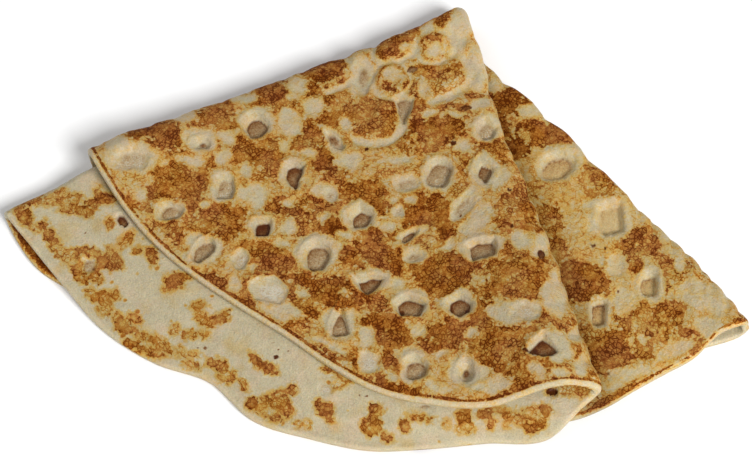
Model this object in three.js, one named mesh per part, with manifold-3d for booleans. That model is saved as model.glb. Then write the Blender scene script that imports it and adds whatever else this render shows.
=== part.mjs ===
// A thin pancake folded in half, then folded again, lying as a four-layer wedge.
// Millimetres, +Z up. The layers are numbered from the top: 1, 2, 3, 4.
// Layers 1 and 4 are the short leaf of the first fold, layers 2 and 3 its long leaf.

import * as THREE from 'three';
import Module from 'manifold-3d';

const rad = THREE.MathUtils.degToRad;

// Sheet
const THICK = 2.0;
const PITCH = 2.5; // one layer up to the next: the sheet and a little air
const NODE = 'folded_pancake';

// Folds, as directions from the wedge's tip in plan
const SECOND_FOLD = rad(-153.3);
const UPPER_FOLD = rad(-74.4); // the first fold, where it joins layers 1 and 2
const LOWER_FOLD = rad(-52.2); // the first fold, where it joins layers 3 and 4
const UPPER_WEDGE = UPPER_FOLD - SECOND_FOLD;
const LOWER_WEDGE = LOWER_FOLD - SECOND_FOLD;
const TIP = [21.1, 55.1]; // plan place of the tip, so that the origin is under the middle

// Rounded creases: how far the sheet takes to turn over
const FIRST_CREASE = 2.0;
const SECOND_CREASE = 4.5;
const TUCK = 2.9; // the inner fold lies this far inside the outer one
// The first fold opens into a wider loop towards the rim, from and to these distances from the tip
const UPPER_LOOP = { wider: 2.5, from: 50, to: 104 };
const LOWER_LOOP = { wider: 1.0, from: 60, to: 104 };

// Rim radius from the tip, at even steps of angle from the second fold to the first
const RIM = {
  1: [95.8, 95.4, 94.8, 96.2, 102.4, 104.3, 104.3],
  2: [119, 117, 116, 115.8, 114, 110.9, 114.3, 113.8, 113.3, 111.2, 109.8, 110.4, 104.3],
  3: [119, 118, 114.5, 109.5, 106.5, 108, 108, 106.5, 105, 106.3, 104.4, 102.4, 104],
  4: [95.8, 97, 96, 97, 98.5, 100, 101.5, 103.4, 104],
};

// How far each fold line bows, at even steps from the tip
const BOW_STEP = 15;
const BOW_REACH = 26;
const UPPER_BOW = [-1.8, -0.8, 1.0, 1.3, 1.0, 1.1, 1.1, 0.2];
const LOWER_BOW = [-1.8, 3.0, 2.0, 1.2, 1.0, 0.2, 0.0, 1.4];
const OUTER_BOW = [0.2, -1.1, -0.8, 0.1, 0.8, 1.4, 1.8, 1.8];
const INNER_BOW = [0.0, -1.1, -0.9, -0.1, 0.6, 0.9, 1.1, 0.9, 0.2];

// How the layers stand off each other
const SAG_CLEAR = 0.2; // a layer starts to sag this far past the rim under it
const LONG_SAG = 11; // and is a step lower after this far, over layer 4
const SHORT_SAG = 4; // or this far, over layer 3
const UPPER_GAPE = { rise: 5.0, width: 11, from: 35, to: 100 };
const LOWER_GAPE = { rise: 2.0, width: 8, from: 70, to: 105 };
const OUTER_LIFT = { rise: 3.0, width: 15, from: 50, to: 92 };
const INNER_LIFT = { rise: 1.5, width: 18, from: 85, to: 112 };
const GAPE_ROUND = 2;

// The picture that the pits were read in, and how it looks down on the wedge
const PICTURE = { width: 752, height: 459, focal: 1540.7, elevation: rad(63), distance: 352.6 };
const PICTURE_TARGET = [-19.42, -59.74, 5.0]; // from the tip
const SIGHT_ROUNDS = 6; // steps to find where a line of sight meets a layer
// Bubble pits, each by its middle and half sizes in that picture, and its depth in millimetres
const UPPER_PITS = [
  [131, 162, 22, 12, 0.7], [199, 141, 13, 11, 1.1], [222, 188, 10, 11, 1.2], [170, 213, 12, 11, 1.0],
  [257, 127, 14, 11, 1.4], [293, 177, 10, 13, 1.4], [262, 230, 10, 10, 1.4], [204, 252, 12, 11, 1.0],
  [317, 254, 13, 15, 1.4], [359, 218, 12, 12, 1.3], [441, 174, 14, 15, 1.2], [406, 182, 12, 9, 0.7],
  [485, 132, 12, 12, 1.0], [484, 177, 12, 12, 1.2], [268, 292, 17, 12, 0.9], [369, 285, 12, 10, 1.3],
  [340, 328, 10, 15, 1.2], [410, 308, 14, 11, 1.4], [459, 309, 13, 11, 1.4], [482, 252, 13, 11, 1.3],
  [516, 310, 16, 8, 0.7], [545, 351, 14, 9, 1.4], [413, 367, 14, 13, 1.0], [465, 374, 12, 11, 1.1],
];
const LOWER_PITS = [
  [556, 163, 17, 14, 0.9], [611, 218, 13, 15, 1.1], [650, 288, 10, 15, 1.1], [600, 314, 9, 14, 1.1],
];
const PIT_SIDES = 7;
const PIT_MOUTH = 1.3; // the cutting shape's size at its top, over the size read in the picture
const PIT_FLOOR = 0.72; // and at the pit's floor
const PIT_UNEVEN = 0.14;
const PIT_ABOVE = 0.8; // how far the cutting shape stands above the crust

// Mesh lines from each fold out to the rim
const LINES = { upper: 28, lower: 20, short: 26, long: 22 };
const CREASE_LINES = 5;
const RIM_CROWDING = 1.35;
const FIRST_CREASE_SHARE = 0.042;
const SECOND_CREASE_SHARE = 0.06;

const along = new THREE.Vector2(Math.cos(SECOND_FOLD), Math.sin(SECOND_FOLD));
const across = new THREE.Vector2(-along.y, along.x);

function ease(from, to, x) {
  return THREE.MathUtils.smoothstep(x, from, to);
}

// A smooth curve through values at even steps
function through(values, step) {
  const last = values.length - 1;
  const x = THREE.MathUtils.clamp(step, 0, last);
  const i = Math.min(Math.floor(x), last - 1);
  const at = (k) => values[THREE.MathUtils.clamp(k, 0, last)];
  const f = x - i;
  const [a, b, c, d] = [at(i - 1), at(i), at(i + 1), at(i + 2)];
  return b + 0.5 * f * (c - a + f * (2 * a - 5 * b + 4 * c - d + f * (3 * (b - c) + d - a)));
}

function wedgeOf(layer) {
  return layer <= 2 ? UPPER_WEDGE : LOWER_WEDGE;
}

function rimRadius(layer, angle) {
  const values = RIM[layer];
  return through(values, (angle / wedgeOf(layer)) * (values.length - 1));
}

// Height profile of a loop that gapes: quick up from the fold, slow down away from it
function gape({ rise, width, from, to }, fromFold, radius) {
  const x = Math.max(fromFold + GAPE_ROUND, 0) / width;
  return rise * x * Math.exp(1 - x) * ease(from, to, radius);
}

function lift({ rise, width, from, to }, fromFold, radius) {
  const x = Math.max(fromFold, 0) / width;
  return rise * Math.exp(-x * x) * ease(from, to, radius);
}

// Middle heights of layers 1 to 4 at a plan place: t along the second fold, q off it
function heights(t, q) {
  const radius = Math.hypot(t, q);
  const angle = Math.atan2(q, t);
  const offUpper = radius * Math.sin(UPPER_WEDGE - angle);
  const offLower = radius * Math.sin(LOWER_WEDGE - angle);
  const rim3 = rimRadius(3, angle) + SAG_CLEAR;
  const rim4 = rimRadius(4, angle) + SAG_CLEAR;
  const on4 = PITCH * (1 - ease(rim4, rim4 + LONG_SAG, radius));
  const on3 = PITCH * (1 - ease(rim3, rim3 + SHORT_SAG, radius));
  const floor = THICK / 2;
  return {
    1: floor + on4 + on3 + PITCH + gape(UPPER_GAPE, offUpper, radius) + lift(OUTER_LIFT, q, radius),
    2: floor + on4 + on3 + lift(INNER_LIFT, q, radius),
    3: floor + on4 + gape(LOWER_GAPE, offLower, radius),
    4: floor,
  };
}

function layerAt(isUpper, isLong) {
  if (isUpper) return isLong ? 2 : 1;
  return isLong ? 3 : 4;
}

// Distances from the first and second fold of a grid place, u and v from 0 at a fold to 1 at the rim
function onLayer(layer, u, v) {
  const wedge = wedgeOf(layer);
  const rim = (angle) => {
    const radius = rimRadius(layer, angle);
    return new THREE.Vector2(radius * Math.sin(wedge - angle), radius * Math.sin(angle));
  };
  const point = rim((u * wedge) / 2).multiplyScalar(v);
  point.addScaledVector(rim(wedge - (v * wedge) / 2), u);
  point.addScaledVector(rim(wedge / 2), -u * v);
  return { p: point.x, q: point.y };
}

// The folded sheet at grid place (u, v): u < 0 is the upper pair, v < 0 the short leaf.
// face is +1 for the crusted side and -1 for the pale side.
function sheetPoint(u, v, face) {
  const isUpper = u < 0;
  const wedge = isUpper ? UPPER_WEDGE : LOWER_WEDGE;
  const { p, q } = onLayer(layerAt(isUpper, v >= 0), Math.abs(u), Math.abs(v));
  const loop = isUpper ? UPPER_LOOP : LOWER_LOOP;
  const crease = FIRST_CREASE + loop.wider * ease(loop.from, loop.to, q);

  const turn1 = (Math.PI / 2) * Math.min(p / crease, 1);
  const bow1 = through(isUpper ? UPPER_BOW : LOWER_BOW, q / BOW_STEP) * (1 - ease(0, BOW_REACH, p));
  const offFirst = (p < crease ? crease * (1 - Math.cos(turn1)) : p) + bow1;
  const side1 = (v < 0 ? -1 : 1) * Math.sin(turn1);
  const long = (1 + side1) / 2;

  const turn2 = (Math.PI / 2) * Math.min(q / SECOND_CREASE, 1);
  const tuck = TUCK * long;
  const bow2 = long * through(INNER_BOW, p / BOW_STEP) + (1 - long) * through(OUTER_BOW, p / BOW_STEP);
  const inCrease = tuck + (SECOND_CREASE - tuck) * (1 - Math.cos(turn2));
  const offSecond = (q < SECOND_CREASE ? inCrease : q) - bow2 * (1 - ease(0, BOW_REACH, q));
  const side2 = (isUpper ? -1 : 1) * Math.sin(turn2);
  const low = (1 + side2) / 2;

  const t = (offFirst + q * Math.cos(wedge)) / Math.sin(wedge);
  const z = heights(t, offSecond);
  const middle = long * (low * z[3] + (1 - low) * z[2]) + (1 - long) * (low * z[4] + (1 - low) * z[1]);

  const normal = new THREE.Vector3(
    -Math.cos(turn1) * Math.sin(wedge),
    Math.cos(turn1) * Math.cos(wedge) + side1 * Math.cos(turn2),
    side1 * side2,
  ).normalize();
  const off = (face * THICK) / 2;
  return inPlan(t + off * normal.x, offSecond + off * normal.y, Math.max(middle + off * normal.z, 0));
}

function inPlan(t, q, z) {
  return new THREE.Vector3(
    TIP[0] + t * along.x + q * across.x,
    TIP[1] + t * along.y + q * across.y,
    z,
  );
}

// Line places from a fold to the rim: close together round the crease and again near the rim
function linePlaces(count, share) {
  const places = [];
  for (let k = 0; k <= CREASE_LINES; k++) {
    places.push((share * k) / CREASE_LINES);
  }
  const rest = count - CREASE_LINES;
  for (let k = 1; k <= rest; k++) {
    places.push(1 - (1 - share) * (1 - k / rest) ** RIM_CROWDING);
  }
  return places;
}

function bothSides(negativeCount, positiveCount, share) {
  const negative = linePlaces(negativeCount, share).map((x) => -x).reverse();
  return negative.concat(linePlaces(positiveCount, share).slice(1));
}

// The whole sheet as one closed body: two alike faces and a band along the rim
function sheetMesh() {
  const us = bothSides(LINES.upper, LINES.lower, SECOND_CREASE_SHARE);
  const vs = bothSides(LINES.short, LINES.long, FIRST_CREASE_SHARE);
  const [columns, rows] = [us.length, vs.length];
  const points = [];
  for (const face of [1, -1]) {
    for (const u of us) {
      for (const v of vs) {
        points.push(...sheetPoint(u, v, face).toArray());
      }
    }
  }
  const faceSize = columns * rows;
  const id = (i, j, back) => i * rows + j + (back ? faceSize : 0);
  const triangles = [];
  const quad = (a, b, c, d) => triangles.push(a, b, c, a, c, d);
  for (let i = 0; i < columns - 1; i++) {
    for (let j = 0; j < rows - 1; j++) {
      quad(id(i, j), id(i, j + 1), id(i + 1, j + 1), id(i + 1, j));
      quad(id(i, j, true), id(i + 1, j, true), id(i + 1, j + 1, true), id(i, j + 1, true));
    }
  }
  const band = (i0, j0, i1, j1) => quad(id(i0, j0), id(i1, j1), id(i1, j1, true), id(i0, j0, true));
  for (let i = 0; i < columns - 1; i++) {
    band(i, 0, i + 1, 0);
    band(i + 1, rows - 1, i, rows - 1);
  }
  for (let j = 0; j < rows - 1; j++) {
    band(0, j + 1, 0, j);
    band(columns - 1, j, columns - 1, j + 1);
  }
  return { points, triangles };
}

// Where the line of sight through a picture place meets a layer, as (t, q) from the tip
function seenOn(layer, x, y) {
  const { width, height, focal, elevation, distance } = PICTURE;
  const back = new THREE.Vector3(0, -Math.cos(elevation), Math.sin(elevation));
  const eye = new THREE.Vector3(...PICTURE_TARGET).addScaledVector(back, distance);
  const up = new THREE.Vector3(0, Math.sin(elevation), Math.cos(elevation));
  const sight = back.clone().multiplyScalar(-focal);
  sight.addScaledVector(up, height / 2 - y);
  sight.x += x - width / 2;
  let place = { t: 0, q: 0 };
  let z = PITCH;
  for (let round = 0; round < SIGHT_ROUNDS; round++) {
    const hit = eye.clone().addScaledVector(sight, (z - eye.z) / sight.z);
    const plan = new THREE.Vector2(hit.x, hit.y);
    place = { t: plan.dot(along), q: plan.dot(across) };
    z = heights(place.t, place.q)[layer] + THICK / 2;
  }
  return place;
}

// A tapered pit cutter that follows the crust: a mouth above it and a smaller floor below it
function pitMesh(layer, [x, y, halfWidth, halfHeight, depth], index) {
  const points = [];
  const rings = [
    { size: PIT_MOUTH, z: PIT_ABOVE },
    { size: PIT_FLOOR, z: -depth },
  ];
  for (const { size, z } of rings) {
    for (let k = 0; k < PIT_SIDES; k++) {
      const angle = (2 * Math.PI * k) / PIT_SIDES + index;
      const spread = size * (1 + PIT_UNEVEN * Math.cos(3 * angle + index));
      const dx = spread * halfWidth * Math.cos(angle);
      const dy = spread * halfHeight * Math.sin(angle);
      const { t, q } = seenOn(layer, x + dx, y - dy);
      points.push(...inPlan(t, q, heights(t, q)[layer] + THICK / 2 + z).toArray());
    }
  }
  const triangles = [];
  for (let k = 0; k < PIT_SIDES; k++) {
    const next = (k + 1) % PIT_SIDES;
    triangles.push(k, PIT_SIDES + k, next, next, PIT_SIDES + k, PIT_SIDES + next);
    if (k > 0 && next > 0) {
      triangles.push(0, k, next, PIT_SIDES, PIT_SIDES + next, PIT_SIDES + k);
    }
  }
  return { points, triangles };
}

const wasm = await Module();
wasm.setup();

function solid({ points, triangles }) {
  return new wasm.Manifold(new wasm.Mesh({
    numProp: 3,
    vertProperties: new Float32Array(points),
    triVerts: new Uint32Array(triangles),
  }));
}

function pancake() {
  let body = solid(sheetMesh());
  UPPER_PITS.forEach((pit, index) => {
    body = body.subtract(solid(pitMesh(1, pit, index)));
  });
  LOWER_PITS.forEach((pit, index) => {
    body = body.subtract(solid(pitMesh(3, pit, index)));
  });
  const cut = body.getMesh();
  const geometry = new THREE.BufferGeometry();
  geometry.setAttribute('position', new THREE.BufferAttribute(new Float32Array(cut.vertProperties), 3));
  geometry.setIndex(new THREE.BufferAttribute(new Uint32Array(cut.triVerts), 1));
  geometry.computeVertexNormals();
  return geometry;
}

const crust = new THREE.MeshStandardMaterial({ color: 0xc98a4b, roughness: 0.6, metalness: 0 });
const mesh = new THREE.Mesh(pancake(), crust);
mesh.name = NODE;

const group = new THREE.Group();
group.add(mesh);

export default group;
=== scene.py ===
"""A thin pancake folded twice into a four-layer wedge, browned on one side and pale on the other."""

import math

import bpy
import numpy as np
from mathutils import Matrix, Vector


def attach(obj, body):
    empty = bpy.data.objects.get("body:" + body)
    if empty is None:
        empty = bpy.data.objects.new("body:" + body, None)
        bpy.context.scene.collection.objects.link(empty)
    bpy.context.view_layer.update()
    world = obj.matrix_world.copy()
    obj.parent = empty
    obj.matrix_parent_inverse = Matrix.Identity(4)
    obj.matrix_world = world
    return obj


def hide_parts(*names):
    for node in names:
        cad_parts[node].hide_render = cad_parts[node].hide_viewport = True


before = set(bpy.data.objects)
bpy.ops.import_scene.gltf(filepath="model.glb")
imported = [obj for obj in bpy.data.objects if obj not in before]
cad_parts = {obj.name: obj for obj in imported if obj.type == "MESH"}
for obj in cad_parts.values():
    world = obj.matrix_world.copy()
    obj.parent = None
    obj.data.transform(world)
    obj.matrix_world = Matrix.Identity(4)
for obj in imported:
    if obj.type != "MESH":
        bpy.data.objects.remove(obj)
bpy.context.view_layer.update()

NODE = "folded_pancake"
MM = 0.001

# The sheet and its folds, in millimetres and radians, as in the solid
THICK = 2.0
PITCH = 2.5  # from the middle of one layer to the next
SECOND_FOLD = math.radians(-153.3)
UPPER_WEDGE = math.radians(-74.4) - SECOND_FOLD
LOWER_WEDGE = math.radians(-52.2) - SECOND_FOLD
TIP = np.array([21.1, 55.1])
ALONG = np.array([math.cos(SECOND_FOLD), math.sin(SECOND_FOLD)])
ACROSS = np.array([-ALONG[1], ALONG[0]])
FIRST_CREASE = 1.3
SECOND_CREASE = 4.5
TUCK = 2.9

# Loops of the first fold: how much wider the crease gets, and between which distances from the second fold
UPPER_LOOP = (2.5, 72, 104)
LOWER_LOOP = (1.0, 60, 104)

# Radius of each layer's rim, at even steps of angle from the second fold to the first
RIM = {
    1: [95.8, 95.6, 95.4, 95.1, 94.8, 95, 96.2, 99.3, 102.4, 103.7, 104.5, 103.2, 104.3],
    2: [119, 117, 116, 115.8, 114, 110.9, 114.3, 113.8, 113.3, 111.2, 109.8, 110.4, 104.3],
    3: [119, 119, 118.2, 115.2, 112, 109.8, 108, 107, 106.5, 107.2, 108, 108.2, 108, 107.4, 106.5,
        105.6, 105.2, 106.2, 107.2, 106.4, 104.9, 104.2, 104.2, 103.1, 104.8],
    4: [95.8, 96.4, 97, 96.5, 96, 96.5, 97, 97.7, 98.5, 99.3, 100, 100, 100, 100.2, 100.5, 102.4, 105.4],
}

# How far the folded edges bow, at even steps from the tip, and how far in from the edge that fades out
BOW_STEP = 15
BOW_REACH = 26
UPPER_BOW = [-1.8, -0.8, 0.7, 0.4, -0.3, -0.3, 0.0, -0.6]
LOWER_BOW = [-1.8, 3.3, 2.2, 1.2, 1.2, 0.2, 0.0, 1.4]
OUTER_BOW = [0.2, -1.1, -0.8, 0.1, 0.8, 1.4, 1.8, 1.8]
INNER_BOW = [0.0, -1.1, -0.9, -0.1, 0.6, 0.9, 1.1, 0.9, 0.2]

# The layers sag over the rims below them
SAG_CLEAR = 0.2
LONG_SAG = 11
SHORT_SAG = 4

# Open loops and lifted edges: rise, width, and the radii between which they grow
UPPER_GAPE = (6.2, 10, 35, 100)
LOWER_GAPE = (3.6, 7, 70, 105)
OUTER_LIFT = (3.0, 15, 50, 92)
INNER_LIFT = (1.5, 18, 85, 112)
GAPE_ROUND = 2

# The picture that the spots were read in, and how it looks down on the wedge
WIDTH = 752
HEIGHT = 459
FOCAL = 1540.7
ELEVATION = math.radians(63)
DISTANCE = 352.6
TARGET = np.array([TIP[0] - 19.42, TIP[1] - 59.74, 5.0])
PX = 4.2  # picture pixels to a millimetre on the crust

# Mesh lines from each fold out to the rim
UPPER_LINES = 210
LOWER_LINES = 168
SHORT_LINES = 192
LONG_LINES = 180
BLOCK = 6  # lines to one coarse cell where the sheet is hidden
CREASE_LINES = 12
CREASE_SHARE = 0.03
RIM_SHARE = 0.021
RIM_CLOSER = 1.5

# Rounding of the rim: how wide, and how much of the half thickness it takes
CRUST_ROUND = (0.9, 0.7)
PALE_ROUND = (0.7, 0.5)

# Relief fades in between these distances from the rim
CRUST_FADE = (0.4, 2.2)
PALE_FADE = (0.2, 1.5)

# Browned patches of layer 1: middle x, y, half sizes, turn (degrees), shade
UPPER_BROWN = [
    (135, 134, 19, 4, -22, .9), (160, 129, 19, 8, -5, .9), (163, 143, 15, 6, -8, .8),
    (188, 124, 12, 3, 0, .8), (217, 113, 18, 9, -25, .72), (226, 126, 10, 5, 0, .8),
    (180, 181, 26, 19, 12, .75), (152, 192, 14, 7, 15, .8), (141, 204, 13, 4, 20, .7),
    (190, 200, 14, 6, 0, .75), (222, 221, 25, 17, 5, .75), (245, 151, 16, 12, 0, .75),
    (222, 144, 7, 4, 15, .7), (205, 166, 10, 4, -25, .7), (175, 156, 9, 5, 0, .6),
    (172, 231, 18, 7, 25, .65), (188, 212, 4, 9, 0, .6), (196, 223, 10, 6, 0, .7),
    (252, 246, 8, 4, 20, .7), (247, 291, 4, 12, 20, .7), (255, 308, 10, 5, 30, .8),
    (216, 283, 13, 6, 25, .85), (270, 261, 21, 18, 0, .75), (278, 205, 10, 8, 0, .8),
    (294, 212, 8, 8, 0, .85), (303, 223, 16, 13, 0, .58), (330, 229, 14, 9, -10, .97),
    (322, 205, 20, 6, 5, .75), (362, 193, 25, 10, 0, .8), (386, 206, 11, 9, 30, .9),
    (375, 237, 20, 7, -5, .75), (371, 256, 31, 10, 5, .8), (393, 269, 12, 6, 35, .85),
    (325, 292, 36, 13, 0, .8), (300, 277, 10, 4, -10, .8), (285, 284, 6, 6, 0, .7),
    (440, 129, 27, 10, -8, .85), (432, 143, 12, 7, 0, .75), (406, 144, 6, 10, 10, .75),
    (428, 212, 26, 16, 3, .85), (447, 230, 6, 8, 0, .9), (490, 149, 15, 7, 10, .7),
    (497, 158, 12, 6, 40, .6), (464, 166, 5, 15, -5, .65), (458, 183, 8, 10, 0, .45),
    (513, 213, 19, 17, 10, .7), (531, 224, 16, 5, 50, .7), (507, 240, 3, 13, 0, .7),
    (522, 193, 10, 4, 50, .7), (443, 271, 30, 19, 8, .85), (433, 285, 13, 8, 30, .85),
    (470, 265, 8, 4, 0, .8), (480, 290, 11, 6, 20, .7), (521, 277, 34, 21, 4, .7),
    (435, 299, 6, 9, 0, .65), (480, 308, 8, 11, -10, .85), (546, 308, 7, 10, 10, .8),
    (452, 331, 24, 11, 0, .85), (480, 321, 8, 6, 0, .8), (420, 344, 22, 6, 8, .8),
    (507, 335, 30, 13, 5, .72), (490, 347, 21, 11, 0, .8), (503, 359, 24, 11, 5, .65),
    (555, 322, 16, 4, 15, .65), (293, 323, 18, 4, -8, .8), (385, 325, 22, 15, 20, .85),
    (397, 338, 21, 11, 0, .8), (385, 380, 10, 4, 15, .85), (405, 388, 14, 5, 20, .85),
    (338, 355, 18, 4, 22, .85), (375, 302, 11, 8, 0, .75), (502, 368, 14, 9, 20, .7),
    (515, 381, 6, 10, -10, .65), (521, 366, 9, 9, 0, .6), (557, 363, 16, 6, 0, .7),
    (567, 372, 27, 3, 6, .7), (573, 347, 4, 9, -10, .7), (585, 343, 8, 4, 45, .6),
    (516, 388, 14, 4, -15, .75), (270, 92, 22, 8, -20, .85), (278, 103, 18, 5, 0, .6),
    (325, 71, 21, 10, -12, .9), (337, 100, 13, 7, 0, .6), (331, 116, 10, 7, 0, .75),
    (307, 115, 6, 8, 20, .6), (372, 117, 23, 19, 0, .7), (313, 131, 10, 4, 20, .8),
    (308, 142, 14, 8, 0, .7), (266, 153, 17, 12, 0, .75), (272, 165, 8, 6, 0, .75),
    (264, 177, 14, 8, 0, .55), (325, 160, 13, 10, 25, .95), (336, 176, 11, 5, 0, .65),
    (389, 89, 6, 6, 0, .95), (393, 48, 15, 9, -15, .8), (388, 56, 6, 3, -5, .95),
    (436, 35, 14, 4, -5, .85), (449, 44, 3, 10, 0, .6), (440, 69, 24, 10, 0, .62),
    (445, 85, 19, 7, 0, .34), (419, 109, 8, 14, 0, .7), (446, 108, 22, 3, -3, .65),
    (470, 116, 10, 3, 25, .6), (436, 93, 8, 3, -25, .55), (440, 345, 14, 6, 0, .8),
    (412, 357, 4, 4, 0, .4),
]
# Pale islands of layer 1, where the batter did not touch the pan: middle x, y, half sizes, turn
UPPER_PALE = [
    (130, 156, 27, 18, 8), (184, 117, 13, 6, -8), (199, 139, 20, 13, 8), (194, 161, 14, 6, 10),
    (223, 156, 8, 8, 0), (227, 138, 9, 6, 15), (139, 195, 9, 8, 20), (243, 99, 15, 5, -12),
    (166, 162, 6, 4, 0), (222, 186, 14, 18, -5), (254, 194, 17, 12, 10), (170, 211, 16, 12, 0),
    (205, 204, 6, 4, -20), (257, 121, 19, 15, 0), (290, 123, 13, 15, 0), (299, 86, 11, 9, 0),
    (312, 107, 11, 9, 10), (290, 96, 5, 4, 0), (360, 76, 15, 21, 5), (346, 125, 7, 7, 0),
    (392, 75, 11, 8, 0), (350, 161, 14, 10, 0), (399, 160, 13, 5, 0), (292, 173, 15, 15, 0),
    (248, 170, 8, 6, 0), (284, 146, 7, 5, 0), (308, 154, 8, 5, 0), (336, 147, 10, 4, 25),
    (458, 32, 14, 28, 8), (428, 27, 10, 5, -15), (435, 49, 10, 9, 0), (409, 51, 10, 8, 0),
    (424, 90, 6, 10, 0), (445, 98, 20, 5, -10), (430, 113, 9, 5, 0), (479, 104, 11, 9, 0),
    (456, 113, 10, 3, 0), (475, 72, 11, 25, 0), (487, 128, 16, 14, 0), (288, 202, 8, 6, 0),
    (290, 226, 9, 8, 0), (326, 191, 14, 9, 10), (324, 216, 5, 6, 20), (262, 227, 14, 12, 0),
    (281, 243, 8, 5, 15), (318, 252, 24, 20, 0), (359, 216, 19, 15, 0), (346, 235, 9, 5, 0),
    (388, 227, 7, 5, 0), (394, 199, 7, 4, 0), (397, 214, 9, 7, -25), (412, 234, 18, 7, -10),
    (414, 254, 15, 8, 0), (438, 174, 18, 18, 0), (407, 183, 16, 9, 5), (410, 201, 6, 5, 0),
    (464, 147, 8, 7, 0), (484, 170, 16, 17, 0), (466, 202, 20, 9, -40), (482, 215, 14, 14, 0),
    (468, 228, 14, 9, -20), (448, 245, 9, 8, 0), (520, 240, 11, 9, 0), (541, 246, 11, 13, 0),
    (500, 178, 10, 12, 30), (482, 246, 24, 15, -10), (268, 292, 18, 14, 10), (290, 310, 18, 9, 15),
    (235, 284, 9, 8, 0), (253, 270, 5, 5, 0), (204, 251, 21, 14, -25), (240, 260, 9, 11, 30),
    (193, 240, 13, 8, 0), (302, 293, 6, 5, 20), (362, 304, 5, 5, 0), (370, 280, 20, 13, 0),
    (397, 284, 9, 7, 0), (340, 322, 18, 20, 0), (366, 336, 9, 12, 0), (370, 362, 13, 12, 0),
    (392, 378, 6, 4, 20), (413, 365, 18, 18, 0), (411, 303, 20, 15, 0), (458, 304, 18, 14, 0),
    (420, 331, 8, 8, 15), (471, 334, 7, 5, -15), (443, 354, 9, 5, -15), (466, 371, 20, 16, 10),
    (500, 381, 12, 8, 10), (513, 311, 27, 12, -8), (550, 341, 20, 11, 0), (560, 352, 12, 12, 0),
    (537, 369, 9, 8, 0), (582, 365, 8, 12, 0), (554, 297, 13, 20, -16), (556, 280, 5, 14, -12),
    (577, 335, 8, 7, 30), (330, 345, 22, 4, 20), (275, 313, 20, 5, 25), (490, 388, 22, 5, -4),
    (438, 387, 16, 5, 6), (560, 372, 10, 4, 0),
]
# Browned patches that lie over the pale islands
UPPER_OVER = [
    (410, 37, 11, 6, -15, .85), (316, 90, 9, 5, 15, .8), (345, 303, 20, 6, 0, .8),
    (346, 107, 8, 5, 10, .65), (476, 94, 12, 3, 3, .65), (415, 84, 5, 10, 0, .55),
    (443, 17, 11, 6, -42, .85), (390, 361, 9, 13, -20, .8), (305, 307, 13, 5, 35, .75),
    (432, 243, 13, 4, -8, .6),
]
# Islands that are only half toasted
UPPER_HALF = [
    (478, 277, 8, 10, 0), (417, 142, 6, 12, -15), (459, 350, 11, 5, -10), (414, 283, 8, 6, 0),
    (437, 318, 9, 7, -20), (342, 292, 9, 3, -5), (445, 387, 35, 6, 0),
]
LOWER_HALF = [
    (632, 335, 5, 19, 0), (575, 236, 18, 8, 10), (545, 195, 14, 6, 20), (525, 133, 5, 6, 0),
]
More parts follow.
